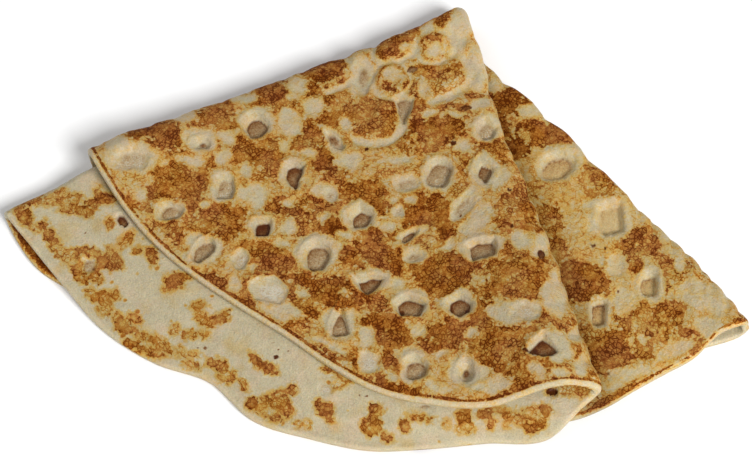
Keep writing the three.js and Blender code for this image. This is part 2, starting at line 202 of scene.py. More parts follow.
# Bubble craters of layer 1: middle, half sizes, turn, collar over hole, depth (mm), corners, floor shade
# Corners: 0 for an oval, 1 for a soft-edged mark, more for a many-sided hole, below 0 with a flat side up
UPPER_CRATERS = [
    (132, 160, 16, 11, 0, 1.6, .86, 5, .2), (202, 146, 6, 4, 0, 2.4, .8, 1, .6),
    (225, 190, 9, 11, 0, 1.6, 1.0, -4, .2), (170, 213, 12, 9, 0, 1.4, .9, 0, .32),
    (256, 130, 10, 9, 0, 1.9, 1.4, 0, .48), (294, 177, 8, 11, 180, 1.7, 1.5, 3, .68),
    (262, 231, 8, 8, 45, 1.7, 1.5, 4, 1.0), (203, 253, 7, 13, 38, 1.5, 1.0, 0, .35),
    (240, 260, 7, 10, 25, 1.3, .8, 0, .15), (317, 260, 11, 12, 180, 1.7, 1.4, 0, .36),
    (361, 221, 9, 8, 0, 2.0, 1.3, 5, .5), (439, 177, 12, 12, 12, 1.45, 1.2, 0, .28),
    (406, 184, 12, 7, 0, 1.3, .7, 0, .25), (487, 132, 10, 8, 0, 1.5, .95, 5, .22),
    (484, 175, 6, 8, -15, 2.3, 1.2, 4, .5), (463, 207, 6, 15, 38, 1.6, .5, 0, .26),
    (269, 291, 18, 12, 10, 1.4, .8, 5, .02), (369, 287, 11, 8, 180, 1.9, 1.3, 3, .62),
    (340, 328, 7, 12, 0, 2.0, 1.2, 3, .4), (410, 310, 13, 9, 0, 1.6, 1.3, 5, .52),
    (459, 309, 11, 8, 0, 1.7, 1.4, 6, .62), (483, 252, 14, 9, -16, 1.6, 1.3, -4, .4),
    (527, 312, 14, 8, 0, 1.4, .7, 1, .15), (543, 350, 13, 9, 0, 1.6, 1.4, 3, .74),
    (416, 371, 11, 10, 0, 1.6, 1.0, 0, .34), (467, 374, 6, 8, 0, 2.3, .9, 1, .68),
    (541, 254, 3.5, 5, -25, 1.8, .8, 0, 1.0), (369, 363, 11, 10, 0, 1.3, .4, 0, .04),
    (409, 237, 9, 5, -40, 1.5, .8, 0, .5), (413, 257, 10, 6, -15, 1.5, .7, 0, .3),
    (399, 213, 6, 5, 0, 1.5, .5, 3, .25), (334, 141, 12, 4.5, 42, 1.5, .8, 1, .55),
    (363, 79, 9, 17, 5, 1.5, .85, 1, .32), (404, 109, 8, 13, 180, 1.4, .9, 3, .34),
    (412, 69, 5, 3, 0, 1.5, .6, 0, .6), (330, 196, 7, 6, 0, 1.5, .5, 0, .2),
    (367, 149, 2.4, 1.8, 0, 1.4, .5, 0, 1.35), (453, 143, 3, 2.4, 0, 1.4, .5, 0, 1.1),
    (460, 215, 1.6, 1.5, 0, 1.4, .4, 0, 1.2), (509, 190, 2.4, 1.8, 30, 1.4, .5, 0, 1.1),
    (510, 346, 2, 1.6, 0, 1.4, .4, 0, 1.1), (525, 350, 3, 1.8, 0, 1.4, .4, 0, 1.1),
    (466, 108, 6, 2.4, 0, 1.3, .3, 0, .9), (512, 226, 2.2, 1.8, 0, 1.4, .4, 0, 1.1),
    # Rows of depth 0 from here are flat marks: the first seven are painted shade in the craters' undercut
    # hollows, the last a tan spot
    (313, 270, 6, 2.6, 22, 1.3, 0, 1, 1.0), (402, 310, 2.8, 3.5, 0, 1.3, 0, 1, 1.1),
    (419, 315, 3.4, 2.2, -30, 1.3, 0, 1, 1.0), (452, 307, 3.2, 4, -20, 1.3, 0, 1, 1.1),
    (467, 310, 3.2, 4, 20, 1.3, 0, 1, 1.1), (537, 350, 3.5, 4.5, 20, 1.3, 0, 1, 1.1),
    (551, 354, 5, 3, 15, 1.3, 0, 1, 1.05), (223, 186, 4.5, 3, 0, 1.3, 0, 1, .62),
]
# Raised pads near the tip: middle, half sizes, turn, height (mm), middle and half span of the pale moat
UPPER_PADS = [
    (374, 117, 24, 21, 0, .5, 35, 105), (392, 79, 15, 15, 0, .4, 0, 360),
    (441, 75, 25, 17, -8, .45, 10, 100), (435, 46, 15, 14, 0, .35, 0, 360),
    (393, 47, 17, 12, -15, .35, 90, 100), (327, 74, 22, 14, -12, .35, 50, 90),
]
# Patches, islands and craters of layer 3
LOWER_BROWN = [
    # The rows at (508, 102), (500, 125), (515, 150), (538, 186), (548, 218) and (556, 250) are browning with
    # painted shade, darker in the hollow beside the upper fold
    (508, 102, 20, 10, 15, .9), (500, 125, 10, 14, -20, .95), (545, 135, 27, 11, 8, .88),
    (515, 150, 15, 9, 0, 1.05), (598, 183, 19, 13, 40, .65), (640, 241, 21, 14, 5, .75),
    (632, 258, 10, 12, 0, .7), (665, 262, 8, 6, 20, .6), (587, 283, 22, 17, -5, .9),
    (570, 275, 13, 13, 0, .85), (660, 314, 25, 15, -5, .7), (650, 331, 20, 10, 10, .65),
    (685, 332, 10, 4, 35, .7), (612, 345, 24, 14, 0, .8), (608, 362, 20, 11, 0, .8),
    (590, 335, 12, 10, 0, .6), (645, 349, 9, 8, 0, .65), (700, 346, 11, 5, -30, .6),
    (538, 186, 6, 10, -25, .5), (548, 218, 16, 11, 40, .7), (556, 250, 8, 11, 0, .7),
    (623, 322, 5, 7, 0, .6), (675, 275, 8, 5, 0, .5), (664, 293, 4, 11, 10, .55),
    (715, 332, 8, 3, -35, .6), (742, 322, 6, 4, 40, .7), (690, 266, 3, 4, 0, .6), (723, 303, 3, 3, 0, .7),
    (706, 279, 7, 3, 20, .5), (20, 236, 12, 4, 52, .8), (36, 254, 14, 4, 50, .9),
    (52, 272, 10, 3, 52, .95), (14, 226, 5, 3, 45, .6), (610, 393, 24, 3, -22, .5),
    (605, 402, 18, 3, -24, .85),
]
LOWER_PALE = [
    (530, 111, 14, 9, -15), (560, 163, 28, 19, -20), (600, 203, 22, 6, -12), (611, 221, 26, 21, 0),
    (645, 218, 10, 6, 10), (666, 235, 8, 10, 30), (616, 265, 12, 14, 0), (598, 262, 6, 6, 0),
    (650, 285, 18, 20, 0), (624, 301, 14, 16, -10), (600, 313, 14, 17, 0), (680, 262, 8, 10, 0),
    (700, 295, 23, 18, 10), (722, 303, 10, 15, 20), (708, 326, 16, 12, 0), (675, 350, 23, 9, -25),
    (643, 340, 5, 7, 10), (622, 375, 18, 8, -12), (640, 372, 12, 6, 0), (615, 386, 12, 5, -18),
    (495, 85, 8, 8, 0),
]
LOWER_CRATERS = [
    (557, 169, 18, 11, -20, 1.6, .95, 0, .35), (611, 222, 12, 15, -6, 1.6, 1.05, -4, .16),
    (650, 288, 7, 11, 4, 1.8, 1.2, -4, .3), (599, 316, 7, 12, 4, 1.6, 1.2, -4, .42),
    (616, 266, 8, 11, 0, 1.4, .4, 0, .06), (593, 246, 3, 2, 0, 1.3, .3, 0, 1.1),
    (606, 249, 1.6, 1.4, 0, 1.3, .3, 0, 1.1), (609, 374, 3.4, 3, 0, 1.4, .4, 1, 1.4),
    (617, 291, 1.6, 1.3, 0, 1.3, .3, 0, 1.1),
]
# Browned blotches and craters on the pale side of layer 2
TONGUE_BROWN = [
    (30, 200, 14, 2.5, -22, .5), (46, 202, 10, 3, 5, .5), (68, 201, 10, 4, 0, .6),
    (60, 195, 8, 2.5, -15, .4), (75, 197, 6, 3, 0, .5), (84, 212, 9, 5, 25, .75), (70, 209, 8, 2, 0, .5),
    (92, 204, 6, 3, 15, .6), (105, 199, 9, 4, -5, .75), (98, 195, 2.5, 5, 0, .6), (25, 217, 6, 8, -35, .8),
    (18, 209, 4, 3, 0, .7), (43, 225, 3.5, 4, 0, .75), (35, 228, 6, 2.5, 35, .5),
    (49, 234, 5, 6, -30, .75), (54, 244, 5, 5, -30, .6), (60, 252, 9, 5, 35, .5),
    (70, 258, 10, 6, 25, .55), (72, 252, 8, 3, 0, .65), (90, 252, 9, 4, 15, .65), (77, 268, 3, 6, -20, .6),
    (82, 278, 6, 4, 10, .7), (97, 277, 5, 6, -20, .7), (97, 268, 3, 5, 0, .6), (102, 261, 6, 5, 0, .75),
    (115, 262, 8, 7, 15, .65), (110, 254, 3, 6, 0, .5), (109, 224, 2.5, 5, 0, .5),
    (126, 240, 2.5, 9, 35, .5), (138, 250, 3.5, 2.5, 0, .65), (152, 256, 4, 8, 0, .7),
    (175, 281, 10, 7, 0, .9), (188, 275, 6, 3, -25, .65), (167, 289, 3, 2.5, 0, .6),
    (89, 292, 4, 4, 20, .55), (102, 297, 11, 4, 0, .65), (106, 303, 6, 6, 20, .65),
    (105, 310, 8, 5, 0, .55), (115, 296, 2, 4, 0, .5), (117, 316, 2, 3, 30, .45),
    (121, 325, 5, 7, -25, .75), (130, 329, 8, 3, 10, .7), (136, 320, 6, 4, 15, .6),
    (127, 320, 8, 1.5, -15, .4), (131, 343, 7, 4, 10, .7), (142, 336, 6, 4, 10, .6),
    (155, 341, 9, 3, 25, .7), (163, 347, 8, 5, 25, .6), (150, 351, 14, 3, 10, .65),
    (178, 349, 4, 3, -10, .55), (199, 305, 7, 3, 0, .65), (201, 316, 4, 7, -25, .55),
    (211, 322, 10, 3, 0, .6), (221, 317, 8, 5, -30, .8), (174, 330, 4, 3, 60, .3),
    (191, 335, 7, 4, -10, .6), (203, 333, 3, 2.5, 30, .55), (188, 355, 6, 1.5, 0, .4),
    (192, 365, 6, 2, 10, .55), (217, 363, 8, 3, 10, .55), (222, 367, 7, 5, 20, .65),
    (228, 375, 6, 5, 30, .45), (224, 379, 6, 2, 0, .55), (233, 373, 2.5, 2.5, 0, .6),
    (255, 359, 3, 6, -35, .75), (265, 367, 9, 3, 18, .75), (274, 371, 3, 2.5, 0, .6),
    (243, 385, 2, 5, -10, .6), (252, 404, 5, 5, 0, .85), (264, 398, 4, 2.5, -10, .6),
    (268, 410, 11, 6, 15, .55), (280, 402, 10, 8, 10, .75), (292, 390, 4, 5, 20, .7),
    (280, 394, 10, 3, -15, .55), (287, 410, 6, 5, 0, .65), (275, 417, 6, 3, 0, .65),
    (299, 424, 3, 3, 0, .5), (306, 424, 2.5, 3, 0, .3), (325, 409, 9, 5, 15, .8), (319, 403, 3, 3, 0, .7),
    (330, 417, 2, 4, 0, .5), (338, 372, 15, 5, 28, .6), (340, 384, 8, 3, -20, .3),
    (372, 425, 9, 10, 5, .75), (376, 411, 6, 6, 20, .75), (387, 437, 6, 3, 10, .65),
    (404, 427, 4, 5, -20, .7), (418, 417, 8, 2, 0, .65), (429, 420, 4, 2, 0, .6), (447, 424, 2, 3, 0, .4),
    (464, 415, 7, 7, 15, .7), (466, 427, 7, 5, 0, .7), (458, 430, 2, 3, 0, .4), (485, 415, 7, 4, 15, .8),
    (491, 422, 2.5, 4, 0, .7), (496, 409, 8, 2.5, 5, .6), (510, 415, 6, 4, -10, .55),
    (508, 423, 4, 3, 0, .55), (520, 420, 8, 6, 20, .6), (530, 428, 6, 3, 15, .75), (527, 413, 5, 4, 0, .5),
    # The row at (567, 390) is painted shade on layer 2 inside the open loop, under layer 1's rim
    (541, 422, 6, 4, 0, .6), (545, 410, 5, 4, 0, .7), (533, 410, 3, 3, 0, .35), (567, 390, 20, 6, 0, .5),
]
TONGUE_CRATERS = [
    (88, 267, 8, 8, 0, 1.4, .8, 0, .28), (122, 222, 7, 4, 40, 1.2, .7, 0, .8),
    (326, 389, 8, 7, 0, 1.3, .4, 0, .12), (425, 407, 9, 3, 5, 1.3, .3, 0, .3),
    # The row at (552, 392) is a dark mark of painted shade in the opening under the loop
    (552, 392, 6, 4.2, 20, 1.2, .5, 0, 1.2), (276, 357, 2.5, 2, -40, 1.3, .4, 0, 1.2),
    (278, 350, 1.4, 1.2, 0, 1.3, .3, 0, .8), (288, 351, 1.2, 1, 0, 1.3, .3, 0, .9),
    (273, 343, 1.2, 1, 0, 1.3, .3, 0, .6), (205, 348, 2, 1.5, 0, 1.3, .3, 0, .6),
    (198, 348, 1.2, 1, 0, 1.3, .3, 0, .7), (360, 396, 1.3, 1.1, 0, 1.3, .3, 0, .8),
    (366, 396, 1.2, 1, 0, 1.3, .3, 0, .8), (355, 393, 1.2, 1, 0, 1.3, .3, 0, .6),
    (86, 232, 1.3, 1, 0, 1.3, .3, 0, .8), (134, 218, 1.4, 1, 0, 1.3, .3, 0, 1.1),
    (106, 320, 2, 1.6, 0, 1.3, .3, 0, .4),
]
TONGUE_SHRINK = 0.1  # blotches are this much smaller than they look, in millimetres

# Hidden crust: seeded islands and craters spread over the flat sheet, and the ranges of their draws
SCATTER_SEED = 11
SCATTER_ISLANDS = 420
SCATTER_CRATERS = 90
SCATTER_REACH = 112
ISLAND_LONG = (1.2, 4.2)
ISLAND_WIDE = (1.0, 3.2)
CRATER_SIZE = (1.3, 2.8)
CRATER_OVAL = (0.7, 1.1)
CRATER_COLLAR = (1.4, 1.9)
CRATER_DEPTH = (0.4, 1.0)
CRATER_CORNERS = (3, 7)
CRATER_SHADE = (0.1, 0.7)
HIDDEN_BROWN = 0.6
HIDDEN_SHADE = 0.74

# Bumps along the folded edges: notches between them in the picture, height over length, and starting depth
LOWER_BUMPS = ([486, 504, 546, 588, 640, 653, 672, 686, 703, 712, 727, 740, 752], 0.13, 0.3)
OUTER_BUMPS = ([86, 100, 150, 171, 198, 222, 246, 285, 303, 345, 375, 421, 437, 460], 0.045, 0.15)
UPPER_BUMPS = ([38, 92, 140, 160, 197, 222, 250, 282, 302, 335, 362, 392], 0.07, 0.2)
BUMP_REACH = 5.0
BUMP_CLEAR = 6.0
BUMP_MOST = 0.95

# Uneven fields: size, seed and length of each set of waves
WAVE_COUNT = 9
WAVE_SPREAD = (0.7, 1.6)
SWAY_X = [(2.8, 21, 26), (1.0, 22, 11)]
SWAY_Y = [(2.4, 23, 26), (0.9, 24, 11)]
HIDDEN_WAVES = [(1.5, 5, 16)]
CRUST_ROUGH = [(0.14, 2, 8), (0.07, 3, 2.8)]
PALE_ROUGH = [(0.08, 12, 10), (0.03, 13, 3)]
LINE_SWAY = [(0.15, 7, 14)]
LINE_GAPS = [(0.8, 8, 11)]
FOLD_GAPS = [(0.4, 9, 8)]

# How much of that sway each kind of spot takes
SPOT_SWAY = 1.0
PAD_SWAY = 0.5
CRATER_SWAY = 0.5
BLOTCH_SWAY = 0.6
PALE_CRATER_SWAY = 0.3

# Spots in general
FAR = -6.0  # stands for a place far outside every spot, in millimetres
TINY = 1e-6
STRAIGHT = 0.65  # how straight the sides of many-sided spots are
PLAIN_SHADE = 0.6
HALF_HALO = 0.3
OVER_GAP = 0.25
LINE_CLEAR = 0.6

# Craters: depths in millimetres, other sizes over the size of the hole
PINHOLE = 1.0  # smaller craters are pinholes, with no collar
PINHOLE_DEPTH = 0.3
DEEPEN = 1.6
DEEPEST = 1.8
THINNEST = 0.4
HARD_DEPTH = (0.7, 1.1)  # from soft bowl to sharp hole by depth
HARD_SHADE = (0.4, 0.6)  # the same by shade
SOFT_DEPTH = 0.5
HOLE_SHARE = 0.95
SINK = PX * math.cos(ELEVATION)  # how much lower a floor shows, in pixels to a millimetre of depth
TO_BACK = (0.45, 0.89)  # the way to the back wall, left and up in the picture
BACK_FROM = 0.3
COLLAR_SIDES = (0.65, 0.35)  # width of a collar, and how much that grows to the back
FLOOR_EDGE = (0.35, 0.57)  # where a soft floor ends, and how much further a hard one goes
WALL_END = 1.25
SLOPE_START = 1.05
SLOPE_LEAST = 0.35
WALL_SHARE = 0.6
LIP = 0.24
LIP_WIDE = 0.3
# Painted shade on crater floors: darker towards the far side and towards the foot of the walls
FAR_SIDE = (-0.6, 1.0)
FAR_PAINTED_SHADE = 0.35
FAR_TONE = 0.1
RING = (0.5, 0.95)
RING_PAINTED_SHADE = 0.2
FLOOR_TONE = 0.78
TONE_REACH = 1.4
SPOT_COVER = -0.2
HOLE_COVER = (0.1, 0.9, 0.4)  # where a bowl's cover starts to fade, more for hard ones, less at the back
COVER_END = 1.28
# Painted light and shade on crater walls: lighter on the back walls, darker on the front ones
LIT_BACK = 1.2
LIT_FRONT = 0.95
LIT_WIDE = 0.25
LIT_LESS = 0.4
WALL_PAINTED_LIGHT = 0.11
COLLAR_START = 1.1
COLLAR_MOST = 1.55
COLLAR_GAIN = 0.8
COLLAR_STEEP = 1.8

# Pads: sizes over the pad's own, spans in degrees
PAD_TOP = (0.72, 1.1)
PAD_TURN = 15
PAD_BACK = 0.4
MOAT_DIP = (1.3, 0.2)
MOAT_PALE = (1.25, 0.2)
MOAT_STEEP = 2.0
PAD_EDGE = 0.98
PAD_LINE = 0.1  # in millimetres

# Where shown crust gives way to hidden crust, in millimetres past the folds
ROUND_SECOND = (-1.0, 2.5)
OVER_FIRST = (0.5, 4.0)
UNDER_FIRST = (-2.5, 0.5)
HIDDEN_PAST = -3

# Pale islands lie lower
ISLAND_DIP = 0.16
ISLAND_SLOPE = (-0.4, 0.9)

# The rim's pale edge and the dark line beside it; lists run over the layers, from a place 0 that is not used
PALE_RIM = np.array([0, 0.85, 2.5, 0.3, 0.85])
PALE_RIM_STEEP = 4
LINE_WEAKER = np.array([0, 0, 9, 0.7, 0])
LINE_SHADE = np.array([0, 1.05, 1.05, 0.85, 1.05])
LINE_TOP = 1.6
LINE_STEEP = 6
LINE_OFF = 0.35
LINE_REACH = 4
LINE_OVER_PALE = 3.2
PALE_TRIM = np.array([0, 0.08, 0.08, 0.35, 0.08])
BASE = np.array([0, 0.3, 0.3, 0.27, 0.3])  # how toasted the ground between patches is

# The part of layer 3 that shows in the gap under the second fold, and the dark line along that fold,
# browning with painted shade
GAP_ANGLE = 0.5
GAP_BROWN = 2.0
GAP_SHADE = 1.05
GAP_PALE = 0.7
FOLD_LINE = (0.8, 0.4)
FOLD_SHADE = 0.95

# The pale side shows on layer 2 and this far round the first fold
TONGUE_ROUND = 8

# What shows, and so gets fine cells: shares of the wedges, and millimetres
UNDER_UPPER = 0.93
GAP_FROM = 106
FOLD_SHOWS = 5
PAST_RIM = 7
LOOP_ANGLE = 0.8
LOOP_FROM = 72
LOOP_INSIDE = 85
RIM_SHOWS = 3
LOWER_LOOP_ANGLE = 0.9
LOWER_LOOP_FROM = 94

# Lightness: by layer and near the tip, painted light at the rim and on the first fold's steep side, and
# painted shade on layer 3 beside the upper layers
LIGHTER = np.array([1.0, 1.0, 0.99, 1.08, 1.0])
TIP_LIGHTER = 0.16
TIP_REACH = (30, 10)
RIM_PAINTED_LIGHT = 0.15
RIM_REACH = (0.2, 1.2)
FOLD_PAINTED_LIGHT = 0.2
FOLD_REACH = 8.0
BESIDE_PAINTED_SHADE = 0.4
BESIDE_REACH = 6.0

# The bake's map: its span and middle on the flat sheet, the rim band's width, and the crusted side's share
UV_SPAN = 236.0
UV_MIDDLE = np.array([7.0, 0.0])
UV_BAND = 2.0
UV_CRUST = 0.6

# Grains of the batter: size in millimetres, octaves, and roughness where it is not the usual one
BROAD = (3.2, 2)
RAGGED = (0.9, 1.2)
FINE = (0.35, 1)
SPECK = (0.3, 0)
CURLS = (1.4, 3, 0.6)
CRACKS = (2.4, 2, 0.6)
CLOUDS = (6.0, 2)
RUDDY_PATCHES = (7.0, 1)
DRIFT = (4.5, 2)

# Cells of the crust to a metre, and how they are bent
CELLS = 1150.0
CLUMPS = 520.0
DOTS = 300.0
BENDS = 420.0
BEND = 0.0013

# Weights of the grains and patterns in each look, in the order in which they are added
SWAY = (2.6, 2.2, 0.3)
CELL_SWAY = 0.7
PALE_SWAY = 0.6
BROWN_SHARES = (0.6, 0.4)
PALE_SHARES = (0.55, 0.45)
MOTTLE = (0.8, 0.5, 0.2, 0.24, 0.2, 0.5, 0.14)
MOTTLE_MEAN = 0.15
VEINS = (1.4, 1.6, 0.3)
GROUND = (0.62, 0.3, 0.28)
BROWN_LINE = 0.2
DENSE = 0.5
WASH = 0.4
CLOUDED = (0.3, 0.35, 0.2)
FLOOR_GRAIN = (0.3, 0.42)
LUMPS = (1.2, 0.8)
RAISED = (1.4, -0.5)

# Values on the crust and on the pale side
SWAY_SIDES = (1.0, 0.5)
EDGE_SIDES = (1.0, 2.2)
SEAM_SIDES = (0.85, 0.6)
CELL_SIDES = (-0.14, -0.08)
BROWN_SIDES = (0.78, 0.84)

# Smooth steps: from, to, and the values there where they are not 0 and 1
SEAM = (0.03, 0.17, 1.0, 0.0)
SEAM_PATCHES = (-0.45, 0.35, 0.35, 1.1)
BROWN_EDGE = (-0.25, 0.2)
BROWN_FADE = (-1.2, 0.6)
LINE_OUTSIDE = (-0.35, 0.0)
LINE_INSIDE = (0.05, 0.6, 1.0, 0.0)
ISLAND_EDGE = (-0.2, 0.15)
ISLAND_FADE = (-0.2, 1.0)
CURL = (0.0, 0.07, 1.0, 0.0)
LIGHT_CELL = (0.28, 0.42)
CRACK = (0.0, 0.04, 1.0, 0.0)
CRACK_BASE = (0.1, 0.32)
DENSE_PATCHES = (-0.06, 0.1)
DENSE_BASE = (0.22, 0.32)
FRINGE = (-2.4, -0.5, 0.0, 0.19)
CLOUD = (-0.02, 0.18, 0.0, 0.08)
DOT = (0.08, 0.2, 0.42, 0.0)
DOT_CHOSEN = (0.05, 0.1)
HOLLOW = (0.8, 2.6, 0.0, -0.16)
WASH_PATCHES = (-0.1, 0.16, 0.96, 0.78)
WASH_BASE = (0.27, 0.3, 0.85, 1.0)
RUDDY_SHARE = (-0.1, 0.1, 0.0, 0.7)
RUDDY_TOAST = (0.22, 0.55)
DRIFT_BASE = (0.27, 0.3, 0.09, 0.0)
DRIFT_SHARE = (-0.12, 0.12)
# Painted shade: a darker band on crater floors just inside the hole's edge
BAND_INSIDE = (0.2, 0.45)
BAND_OUTSIDE = (0.55, 0.9, 1.0, 0.0)
BAND_PATCHES = (-0.15, 0.15, 0.0, 0.8)
BAND_TONE = (0.1, 0.5)
GOLDEN_BASE = (0.27, 0.3, 1.0, 0.0)
FLOOR_COVER = (0.15, 0.8)
DRY = (0.1, 0.5)
CRISP = (0.2, 0.6)

# Colours, shine and relief of the batter
ALBEDO = 0.87
PALE_HALO = 0.45  # yellow border round the pale islands, in millimetres
BROWN_SPREAD = 0.3
DRIFT_WARM = (1.03, 0.98, 0.97, 1.0)
DRIFT_COOL = (0.98, 1.0, 0.98, 1.0)
ROUGH_DRY = 0.8
ROUGH_GRAIN = 0.3
WET_SMOOTHER = 0.45
WET_COAT = 0.22
BUMP = {"Strength": 0.6, "Distance": 0.0003}
BATTER = {
    "Subsurface Weight": 0.25,
    "Subsurface Radius": (1.0, 0.55, 0.25),
    "Subsurface Scale": 0.0014,
    "Specular IOR Level": 0.04,
    "Coat Roughness": 0.4,
}
TOAST = [
    (0.00, (190, 176, 146)),
    (0.12, (189, 162, 108)),
    (0.26, (187, 149, 74)),
    (0.42, (174, 121, 50)),
    (0.60, (156, 97, 33)),
    (0.78, (134, 74, 19)),
    (1.00, (95, 42, 3)),
]
RUDDY = [
    (0.00, (185, 172, 141)),
    (0.42, (173, 120, 62)),
    (0.60, (154, 96, 48)),
    (0.78, (132, 74, 34)),
    (1.00, (95, 44, 15)),
]
FLOORS = [
    (0.00, (186, 178, 158)),
    (0.25, (163, 141, 106)),
    (0.50, (135, 104, 68)),
    (0.75, (107, 65, 29)),
    (1.00, (76, 34, 7)),
]
GOLDEN_FLOORS = [
    (0.00, (190, 172, 130)),
    (0.30, (178, 150, 100)),
    (0.60, (150, 112, 68)),
    (1.00, (76, 34, 7)),
]

# The studio, in metres and watts: each light's place, size and power
FLOOR_HALF = 3.0
FLOOR_DROP = 0.0003
FLOOR_PAINT = {"Base Color": (0.93, 0.93, 0.93, 1.0), "Roughness": 0.9}
SKY = {0: (1.0, 1.0, 1.0, 1.0), 1: 0.26}
LIGHTS = {
    "key": ((0.68, -0.80, 1.00), 0.5, 24.0),
    "fill": ((-0.35, 0.20, 0.40), 0.5, 0.9),
}
SENSOR = 36.0
NEAREST = 0.01


def ease(low, high, x):
    """A smooth step from 0 at low to 1 at high."""
    k = np.clip((x - low) / (high - low), 0, 1)
    return k * k * (3 - 2 * k)


def ridge(x, width):
    """A round ridge of height 1 at 0."""
    return np.exp(-((x / width) ** 2))


def through(values, step):
    """A smooth curve through values at even steps."""
    values = np.asarray(values, float)
    last = len(values) - 1
    x = np.clip(step, 0, last)
    i = np.minimum(np.floor(x).astype(int), last - 1)
    f = x - i
    a, b, c, d = (values[np.clip(i + k, 0, last)] for k in (-1, 0, 1, 2))
    return b + 0.5 * f * (c - a + f * (2 * a - 5 * b + 4 * c - d + f * (3 * (b - c) + d - a)))


def waves(x, y, seed, length):
    """A smooth uneven field of about -1 to 1, with bumps about this long."""
    draw = np.random.default_rng(seed)
    total = np.zeros_like(x)
    for _ in range(WAVE_COUNT):
        turn = draw.uniform(0, 2 * math.pi)
        pace = 2 * math.pi / (length * draw.uniform(*WAVE_SPREAD))
        total += np.cos(pace * (x * math.cos(turn) + y * math.sin(turn)) + draw.uniform(0, 2 * math.pi))
    return total / math.sqrt(2 * WAVE_COUNT)


def uneven(x, y, rows):
    """Sets of waves on top of each other."""
    return sum(size * waves(x, y, seed, length) for size, seed, length in rows)


def wedge_of(layer):
    return UPPER_WEDGE if layer <= 2 else LOWER_WEDGE


def rim_radius(layer, angle):
    values = RIM[layer]
    return through(values, angle / wedge_of(layer) * (len(values) - 1))


def gape(loop, from_fold, radius):
    """Rise of an open loop."""
    rise, width, low, high = loop
    x = np.maximum(from_fold + GAPE_ROUND, 0) / width
    return rise * (x * np.exp(1 - x)) ** 2 * ease(low, high, radius)


def lift(loop, from_fold, radius):
    """Rise of a lifted edge."""
    rise, width, low, high = loop
    return rise * ridge(np.maximum(from_fold, 0), width) * ease(low, high, radius)


def heights(t, q):
    """Middle heights of layers 1 to 4 at a plan place: t along the second fold, q off it."""
    radius = np.hypot(t, q)
    angle = np.arctan2(q, t)
    off_upper = radius * np.sin(UPPER_WEDGE - angle)
    off_lower = radius * np.sin(LOWER_WEDGE - angle)
    rim3 = rim_radius(3, angle) + SAG_CLEAR
    rim4 = rim_radius(4, angle) + SAG_CLEAR
    on4 = PITCH * (1 - ease(rim4, rim4 + LONG_SAG, radius))
    on3 = PITCH * (1 - ease(rim3, rim3 + SHORT_SAG, radius))
    floor = THICK / 2
    return {
        1: floor + on4 + on3 + PITCH + gape(UPPER_GAPE, off_upper, radius) + lift(OUTER_LIFT, q, radius),
        2: floor + on4 + on3 + lift(INNER_LIFT, q, radius),
        3: floor + on4 + gape(LOWER_GAPE, off_lower, radius),
        4: np.full_like(radius, floor),
    }


def on_layer(layer, u, v):
    """Distances from the first and second fold of a grid place on one layer."""
    wedge = wedge_of(layer)

    def rim(angle):
        radius = rim_radius(layer, angle)
        return radius * np.sin(wedge - angle), radius * np.sin(angle)

    side = rim(u * wedge / 2)
    end = rim(wedge - v * wedge / 2)
    corner = rim(np.full_like(u, wedge / 2))
    return tuple(v * a + u * b - u * v * c for a, b, c in zip(side, end, corner))


def folded(u, v):
    """The folded sheet at grid places: u < 0 is the upper pair, v < 0 the short leaf."""
    upper = u < 0
    layer = np.where(upper, np.where(v >= 0, 2, 1), np.where(v >= 0, 3, 4))
    p = np.zeros_like(u)
    q = np.zeros_like(u)
    for number in RIM:
        here = layer == number
        p[here], q[here] = on_layer(number, np.abs(u[here]), np.abs(v[here]))
    wedge = np.where(upper, UPPER_WEDGE, LOWER_WEDGE)

    upper_wider, lower_wider = (wide * ease(low, high, q) for wide, low, high in (UPPER_LOOP, LOWER_LOOP))
    crease = FIRST_CREASE + np.where(upper, upper_wider, lower_wider)
    turn1 = math.pi / 2 * np.minimum(p / crease, 1)
    bow1 = np.where(upper, through(UPPER_BOW, q / BOW_STEP), through(LOWER_BOW, q / BOW_STEP))
    off_first = np.where(p < crease, crease * (1 - np.cos(turn1)), p) + bow1 * (1 - ease(0, BOW_REACH, p))
    side1 = np.where(v < 0, -1, 1) * np.sin(turn1)
    long = (1 + side1) / 2

    turn2 = math.pi / 2 * np.minimum(q / SECOND_CREASE, 1)
    tuck = TUCK * long
    bow2 = long * through(INNER_BOW, p / BOW_STEP) + (1 - long) * through(OUTER_BOW, p / BOW_STEP)
    in_crease = tuck + (SECOND_CREASE - tuck) * (1 - np.cos(turn2))
    off_second = np.where(q < SECOND_CREASE, in_crease, q) - bow2 * (1 - ease(0, BOW_REACH, q))
    side2 = np.where(upper, -1, 1) * np.sin(turn2)
    low = (1 + side2) / 2

    t = (off_first + q * np.cos(wedge)) / np.sin(wedge)
    z = heights(t, off_second)
    middle = long * (low * z[3] + (1 - low) * z[2]) + (1 - long) * (low * z[4] + (1 - low) * z[1])
    normal = np.stack([
        -np.cos(turn1) * np.sin(wedge),
        np.cos(turn1) * np.cos(wedge) + side1 * np.cos(turn2),
        side1 * side2,
    ], -1)
    normal /= np.linalg.norm(normal, axis=-1, keepdims=True)

    flat_t = (p + q * np.cos(wedge)) / np.sin(wedge)
    radius = np.hypot(flat_t, q)
    angle = np.arctan2(q, flat_t)
    around = np.select(
        [layer == 1, layer == 2, layer == 3],
        [angle - 2 * UPPER_WEDGE, -angle, angle],
        2 * LOWER_WEDGE - angle,
    )
    to_rim = np.zeros_like(u)
    for number in RIM:
        here = layer == number
        to_rim[here] = rim_radius(number, angle[here]) - radius[here]
    return {
        "layer": layer,
        "place": np.stack([t, off_second, middle], -1),
        "normal": normal,
        "flat": np.stack([radius * np.cos(around), radius * np.sin(around)], -1),
        "radius": radius,
        "angle": angle,
        "to_rim": np.maximum(to_rim, 0),
        "past_first": np.where(v < 0, -p, p),
        "past_second": np.where(upper, -q, q),
    }


